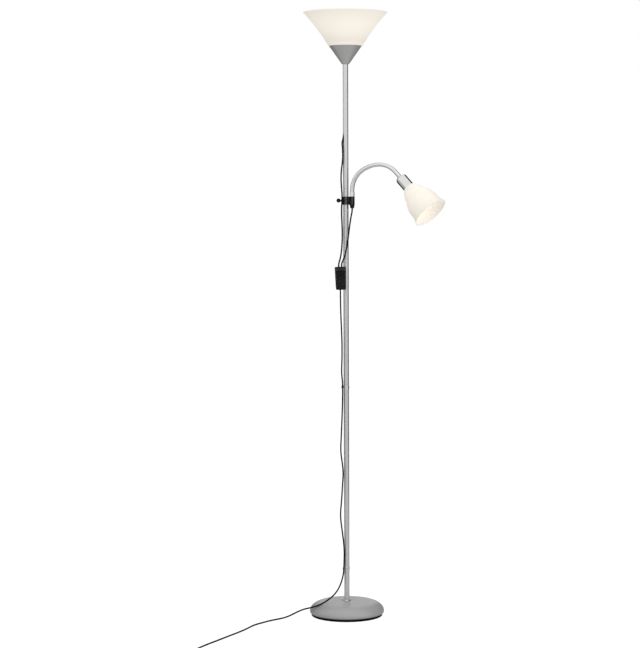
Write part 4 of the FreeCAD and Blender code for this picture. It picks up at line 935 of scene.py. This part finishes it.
def addBulb(name, sizes, seat, body):
    place = seat @ raised(sizes["bulbRise"])
    capRadius, capLength = sizes["bulbCap"]
    neckRadius, neckHeight = sizes["bulbNeck"]
    radius, length, wall = sizes["bulbRadius"], sizes["bulbLength"], bulbSet["wall"]
    contact, margin, depth = capRadius / 2, bulbSet["threadMargin"], bulbSet["threadDepth"]
    thread = threadRows(capRadius, contact - capLength + margin, -margin, bulbSet["threadPitch"], depth)
    capPiece = lathe(f"{name}BulbCap", [
        (0, -capLength), (contact, -capLength), (capRadius - depth, contact - capLength), *thread,
        (capRadius, 0), (0, 0),
    ], 0.3, place, 48)
    finishPiece(capPiece, capAluminium, body, [f"{name}_bulb_cap"], 50)
    start = math.radians(bulbSet["ballStart"])
    across, down = math.cos(start), math.sin(start)
    middle, inner = length - radius, radius - wall
    glass = lathe(f"{name}BulbGlass", [
        (0, 0), (capRadius, 0), (neckRadius, neckHeight), (radius * across, middle - radius * down, radius),
        (0, length), (0, length - wall, -inner), (inner * across, middle - inner * down),
        (neckRadius - wall, neckHeight), (capRadius - wall, wall), (0, wall),
    ], 0.4, place, 72)
    finishPiece(glass, frostedGlass, body, [f"{name}_bulb_glass"], 60)


def gripTree():
    tree, given = newTree("gripRibs", [
        ("Radius", "Float"), ("Low", "Float"), ("Rib Height", "Float"), ("Rib Radius", "Float"),
        ("Rib Count", "Int"), ("Material", "Material"),
    ])
    socket = given.outputs
    circle = addNode(tree, "GeometryNodeMeshCircle", {
        "Vertices": socket["Rib Count"], "Radius": socket["Radius"],
    })
    bar = addNode(tree, "GeometryNodeMeshCylinder", {
        "Radius": socket["Rib Radius"], "Depth": socket["Rib Height"],
    }, {"Vertices": 8})
    rise = addNode(tree, "ShaderNodeCombineXYZ", {"Z": socket["Low"]})
    lifted = addNode(tree, "GeometryNodeSetPosition", {
        "Geometry": circle.outputs[0], "Offset": rise.outputs[0],
    })
    bars = addNode(tree, "GeometryNodeInstanceOnPoints", {
        "Points": lifted.outputs[0], "Instance": bar.outputs["Mesh"],
    })
    joined = addNode(tree, "GeometryNodeJoinGeometry")
    tree.links.new(bars.outputs[0], joined.inputs[0])
    tree.links.new(socket["Geometry"], joined.inputs[0])
    closeTree(tree, joined.outputs[0], socket["Material"])
    return tree


ribTree = gripTree()


def addGripRing(name, bore, radius, tall, place, body, nodeName):
    rib = upperSet["ringRibRadius"]
    core = radius - rib
    piece = lathe(name, [(bore, 0), (core, 0), (core, tall), (bore, tall)], 0.4, around=96)
    growNodes(piece, ribTree, {
        "Radius": core / 1000, "Low": tall / 2000, "Rib Height": (tall - 1) / 1000, "Rib Radius": rib / 1000,
        "Rib Count": upperSet["ringRibs"], "Material": whitePlastic,
    })
    piece.data.transform(place)
    finishPiece(piece, whitePlastic, body, [nodeName], 40)


addUpperHead()
print("upper head done")


# Arm clamp on the pole; each pair is a voxel size and how often it is smoothed

clampSet = {
    "clamp": (0.4, 8),
    "knob": (0.25, 6),
}


def addClamp():
    clamp = roundedCopy("armClamp", "arm_clamp", *clampSet["clamp"])
    finishPiece(clamp, blackPlastic, "clamp", ["arm_clamp"], 60)
    knob = roundedCopy("clampKnob", "clamp_knob", *clampSet["knob"])
    finishPiece(knob, blackPlastic, "clamp_screw", ["clamp_knob"], 60)
    keepNode("clamp_liner", linerPlastic)
    keepNode("clamp_insert_nut", brassMetal)
    keepNode("clamp_screw", blackSteel)


addClamp()
print("clamp done")


# Flexible neck: one ribbed hose along the arm, in four pieces that replace the riser, the three sections and
# the tip

neckSet = {
    "turn": -32,
    "offset": 22.2,
    "socketFloor": 1225.6,
    "clampTop": 1247,
    "rise": 17.6,
    "bends": [(68, 54), (114, 36), (79, 45.3)],
    "tip": 19.3,
    "tipInside": 9,
    "radius": 6.36,
    "ribDepth": 0.08,
    "ribPitch": 2.1,
    "stepsPerRib": 8,
    "splits": [49.6, 117.5, 184],
    "zones": [(2, 48), (51, 116), (119, 183), (186, 232)],
    "ferrule": (7.15, 6.55, 12),
    "ferruleGap": 0.3,
    "pointGap": 0.5,
    "sides": 40,
}
armTurn = Matrix.Rotation(math.radians(neckSet["turn"]), 4, "Z")


def neckPoint(distance):
    across, height, heading = neckSet["offset"], neckSet["clampTop"], 0.0
    left = distance - neckSet["rise"]
    if left <= 0:
        return Vector((across, 0, height + distance))
    height += neckSet["rise"]
    for bend, angle in neckSet["bends"]:
        angle = math.radians(angle)
        turn = min(left / bend, angle)
        across += bend * (math.cos(heading) - math.cos(heading + turn))
        height += bend * (math.sin(heading + turn) - math.sin(heading))
        heading += turn
        left -= bend * turn
        if left <= 1e-9:
            return Vector((across, 0, height))
    return Vector((across + left * math.sin(heading), 0, height + left * math.cos(heading)))


def neckLength():
    curved = sum(bend * math.radians(angle) for bend, angle in neckSet["bends"])
    return neckSet["rise"] + curved + neckSet["tip"]


headAngle = math.radians(sum(angle for _, angle in neckSet["bends"]))
neckEnd = Matrix.Translation(neckPoint(neckLength()) / 1000)
headPlace = armTurn @ neckEnd @ Matrix.Rotation(headAngle, 4, "Y")


def hoseTree():
    tree, given = newTree("ribbedHose", [
        ("Radius", "Float"), ("Rib Depth", "Float"), ("Rib Pitch", "Float"), ("Step", "Float"),
        ("Sides", "Int"), ("Start", "Float"), ("Material", "Material"),
    ])
    socket = given.outputs
    line = addNode(tree, "GeometryNodeMeshToCurve", {"Mesh": socket["Geometry"]})
    even = addNode(tree, "GeometryNodeResampleCurve", {
        "Curve": line.outputs[0], "Length": socket["Step"],
    }, mode="LENGTH")
    along = addNode(tree, "GeometryNodeSplineParameter").outputs["Length"]
    along = addMath(tree, "ADD", along, socket["Start"])
    wave = addMath(tree, "MULTIPLY", addMath(tree, "DIVIDE", along, socket["Rib Pitch"]), 2 * math.pi)
    wave = addMath(tree, "COSINE", wave, 0.0)
    swell = addMath(tree, "MULTIPLY", wave, socket["Rib Depth"])
    reach = addMath(tree, "ADD", swell, socket["Radius"])
    ring = addNode(tree, "GeometryNodeCurvePrimitiveCircle", {"Resolution": socket["Sides"]}, {"Radius": 1.0})
    skin = addNode(tree, "GeometryNodeCurveToMesh", {
        "Curve": even.outputs[0], "Profile Curve": ring.outputs[0], "Scale": reach,
    }, {"Fill Caps": True})
    closeTree(tree, skin.outputs[0], socket["Material"])
    return tree


def addNeck():
    tree = hoseTree()
    start = neckSet["socketFloor"] - neckSet["clampTop"]
    pitch = neckSet["ribPitch"] / 1000
    marks = [start, *neckSet["splits"], neckLength() + neckSet["tipInside"]]
    replaced = [["neck_riser"], ["neck_section_1"], ["neck_section_2"], ["neck_section_3", "neck_tip"]]
    for number, (low, high) in enumerate(zip(marks, marks[1:])):
        count = max(int((high - low) / neckSet["pointGap"]), 4)
        points = [armTurn @ neckPoint(low + (high - low) * step / count) for step in range(count + 1)]
        steps = [(step, step + 1) for step in range(count)]
        piece = addMesh(f"neckHose{number + 1}", [point / 1000 for point in points], steps, [])
        growNodes(piece, tree, {
            "Radius": neckSet["radius"] / 1000, "Rib Depth": neckSet["ribDepth"] / 1000,
            "Rib Pitch": pitch, "Step": pitch / neckSet["stepsPerRib"],
            "Sides": neckSet["sides"], "Start": (low - start) / 1000, "Material": hoseSteel,
        })
        cleanMesh(piece)
        finishPiece(piece, hoseSteel, None, (), 50)
        ends = [armTurn @ neckPoint(distance) / 1000 for distance in neckSet["zones"][number]]
        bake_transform(piece)
        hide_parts(*replaced[number])
    wide, bore, tall = neckSet["ferrule"]
    foot = (neckSet["clampTop"] + neckSet["ferruleGap"]) / 1000
    place = armTurn @ Matrix.Translation((neckSet["offset"] / 1000, 0, foot))
    ferrule = lathe("neckFerrule", [(bore, 0), (wide, 0), (wide, tall), (bore, tall)], 0.35, place, 64)
    finishPiece(ferrule, brightSteel, "arm", ["neck_ferrule"], 40)


addNeck()
print("neck done:", round(neckLength(), 1), "mm of hose")


# Reading head: chromed cup, lampholder, opal bell and bulb

headSet = {
    "hole": 6.55,
    "cupRadius": 17.3,
    "cupLength": 44,
    "cupShoulder": 10,
    "cupSheet": 1,
    "wall": 2.2,
    "neck": 18,
    "seatRadius": 14.4,
    "waist": (34.6, 31.5),
    "belly": (47.8, 68),
    "rim": (54.2, 103),
    "arcs": (62, 80, 75),
    "ring": (13.85, 17, 4),
    "bulbCap": (7, 20),
    "bulbNeck": (8, 6),
    "bulbRadius": 22.5,
    "bulbLength": 54,
    "bulbRise": 7,
    "holderRadii": (2.6, 13.8, 15.6, 13.8, 7.4),
    "holderLevels": (-32, -1.6, 7, -26),
    "holderThread": (1.4, 0.4),
    "glowDepth": 0.05,
    "glow": (0.085, 0.47, 0.62),
}


def addReadingHead():
    hole, radius, sheet = headSet["hole"], headSet["cupRadius"], headSet["cupSheet"]
    shoulder, long = headSet["cupShoulder"], headSet["cupLength"]
    cup = lathe("readingCup", [
        (hole, 0), (radius - shoulder, 0, shoulder), (radius, shoulder),
        (radius, long), (radius - sheet, long),
        (radius - sheet, shoulder, sheet - shoulder), (radius - shoulder, sheet), (hole, sheet),
    ], 0.3, headPlace, 128)
    finishPiece(cup, brightSteel, "reading_head", ["reading_cup"], 40)
    onSeat = headPlace @ raised(long)
    addHolder("readingLampholder", headSet, onSeat, "reading_head", "small_lampholder")
    wall, neck = headSet["wall"], headSet["neck"]
    waist, belly, rim = headSet["waist"], headSet["belly"], headSet["rim"]
    first, second, third = headSet["arcs"]
    bell = lathe("readingBell", [
        (neck, 0, first), (*waist, second), (*belly, -third), rim,
        (rim[0] - wall, rim[1], third + wall), (belly[0] - wall, belly[1], wall - second),
        (waist[0] - wall, waist[1], wall - first), (neck, wall),
        (headSet["seatRadius"], wall), (headSet["seatRadius"], 0),
    ], 0.9, onSeat, 160)
    finishPiece(bell, opalGlass, "reading_head", ["reading_shade"], 50)
    middle = onSeat @ Vector((0, 0, headSet["glowDepth"]))
    # The bell's painted glow: emission standing in for the bulb light through it
    addPaintedGlow(opalGlass, middle, (1, 1, 1), *headSet["glow"])
    bore, wide, tall = headSet["ring"]
    ringPlace = onSeat @ raised(wall)
    addGripRing("readingHolderRing", bore, wide, tall, ringPlace, "reading_head", "small_holder_ring")
    addBulb("reading", headSet, onSeat, "reading_head")


addReadingHead()
print("reading head done")


# Inline switch, clips and plug

switchSet = {
    "dome": 1.5,
    "front": (0.4, 14),
    "back": (0.42, 14),
    "rocker": (0.3, 5),
    "clip": (0.24, 4),
}
plugSet = {
    "body": (0.35, 6),
    "sleeveLength": 17,
    "sleeveRibs": 6,
    "sleeveStart": 2.6,
    "sleeveEnd": 5.2,
    "sleeveGroove": 0.35,
}


def swellFront(piece, depth):
    # The front of the switch's shell is slightly domed, most in its middle
    places = [vertex.co for vertex in piece.data.vertices]
    low = Vector([min(place[axis] for place in places) for axis in range(3)])
    high = Vector([max(place[axis] for place in places) for axis in range(3)])
    for place in places:
        share = [(place[axis] - low[axis]) / (high[axis] - low[axis]) for axis in range(3)]
        middle = (1 - (2 * share[0] - 1) ** 2) * (1 - (2 * share[2] - 1) ** 2)
        place.y -= depth / 1000 * middle * (1 - share[1])


def addSwitch():
    for name, part in (("switchFront", "front"), ("switchBack", "back")):
        shell = roundedCopy(name, f"switch_{part}", *switchSet[part])
        if part == "front":
            swellFront(shell, switchSet["dome"])
        finishPiece(shell, switchPlastic, "stand", [f"switch_{part}"], 60)
    for side in ("left", "right"):
        rocker = roundedCopy(f"{side}Rocker", f"rocker_{side}", *switchSet["rocker"])
        finishPiece(rocker, switchPlastic, f"{side}_rocker", [f"rocker_{side}"], 60)
    keepNode("switch_screws", zincSteel)
    keepNode("rocker_axle", zincSteel)
    keepNode("terminal_block", whitePlastic)


def addClips():
    for place in ("upper", "lower"):
        clip = roundedCopy(f"{place}Clip", f"cable_clip_{place}", *switchSet["clip"])
        finishPiece(clip, clipPlastic, "stand", [f"cable_clip_{place}"], 60)


def addPlug():
    body = roundedCopy("plugBody", "plug_body", *plugSet["body"])
    finishPiece(body, blackPlastic, "stand", ["plug_body"], 60)
    line = centreLine(cordSet["mains"] + coilPoints() + cordSet["tail"])
    run, back = [], 0.0
    for point, before in zip(reversed(line), reversed(line[:-1])):
        run.append(point * 1000)
        back += (point - before).length * 1000
        if back > plugSet["sleeveLength"]:
            break
    run = resample(run, plugSet["sleeveRibs"] * 8)
    share = [step / (len(run) - 1) for step in range(len(run))]

    def reach(step):
        wide = plugSet["sleeveEnd"] + (plugSet["sleeveStart"] - plugSet["sleeveEnd"]) * share[step]
        wave = 0.5 + 0.5 * math.cos(2 * math.pi * plugSet["sleeveRibs"] * share[step])
        return wide - plugSet["sleeveGroove"] * wave

    sleeve = cleanMesh(sweptTube("plugSleeve", run, reach, 28))
    finishPiece(sleeve, blackPlastic, "stand", (), 50)


def resample(points, count):
    whole = lineLength(points)
    found = []
    for step in range(count + 1):
        left = whole * step / count
        for before, after in zip(points, points[1:]):
            gap = (after - before).length
            if left <= gap or after is points[-1]:
                found.append(before.lerp(after, min(left / gap, 1)))
                break
            left -= gap
    return found


addSwitch()
addClips()
addPlug()
keepNode("plug_pins", brightSteel)
addCords()
print("switch, clips, plug and cords done")
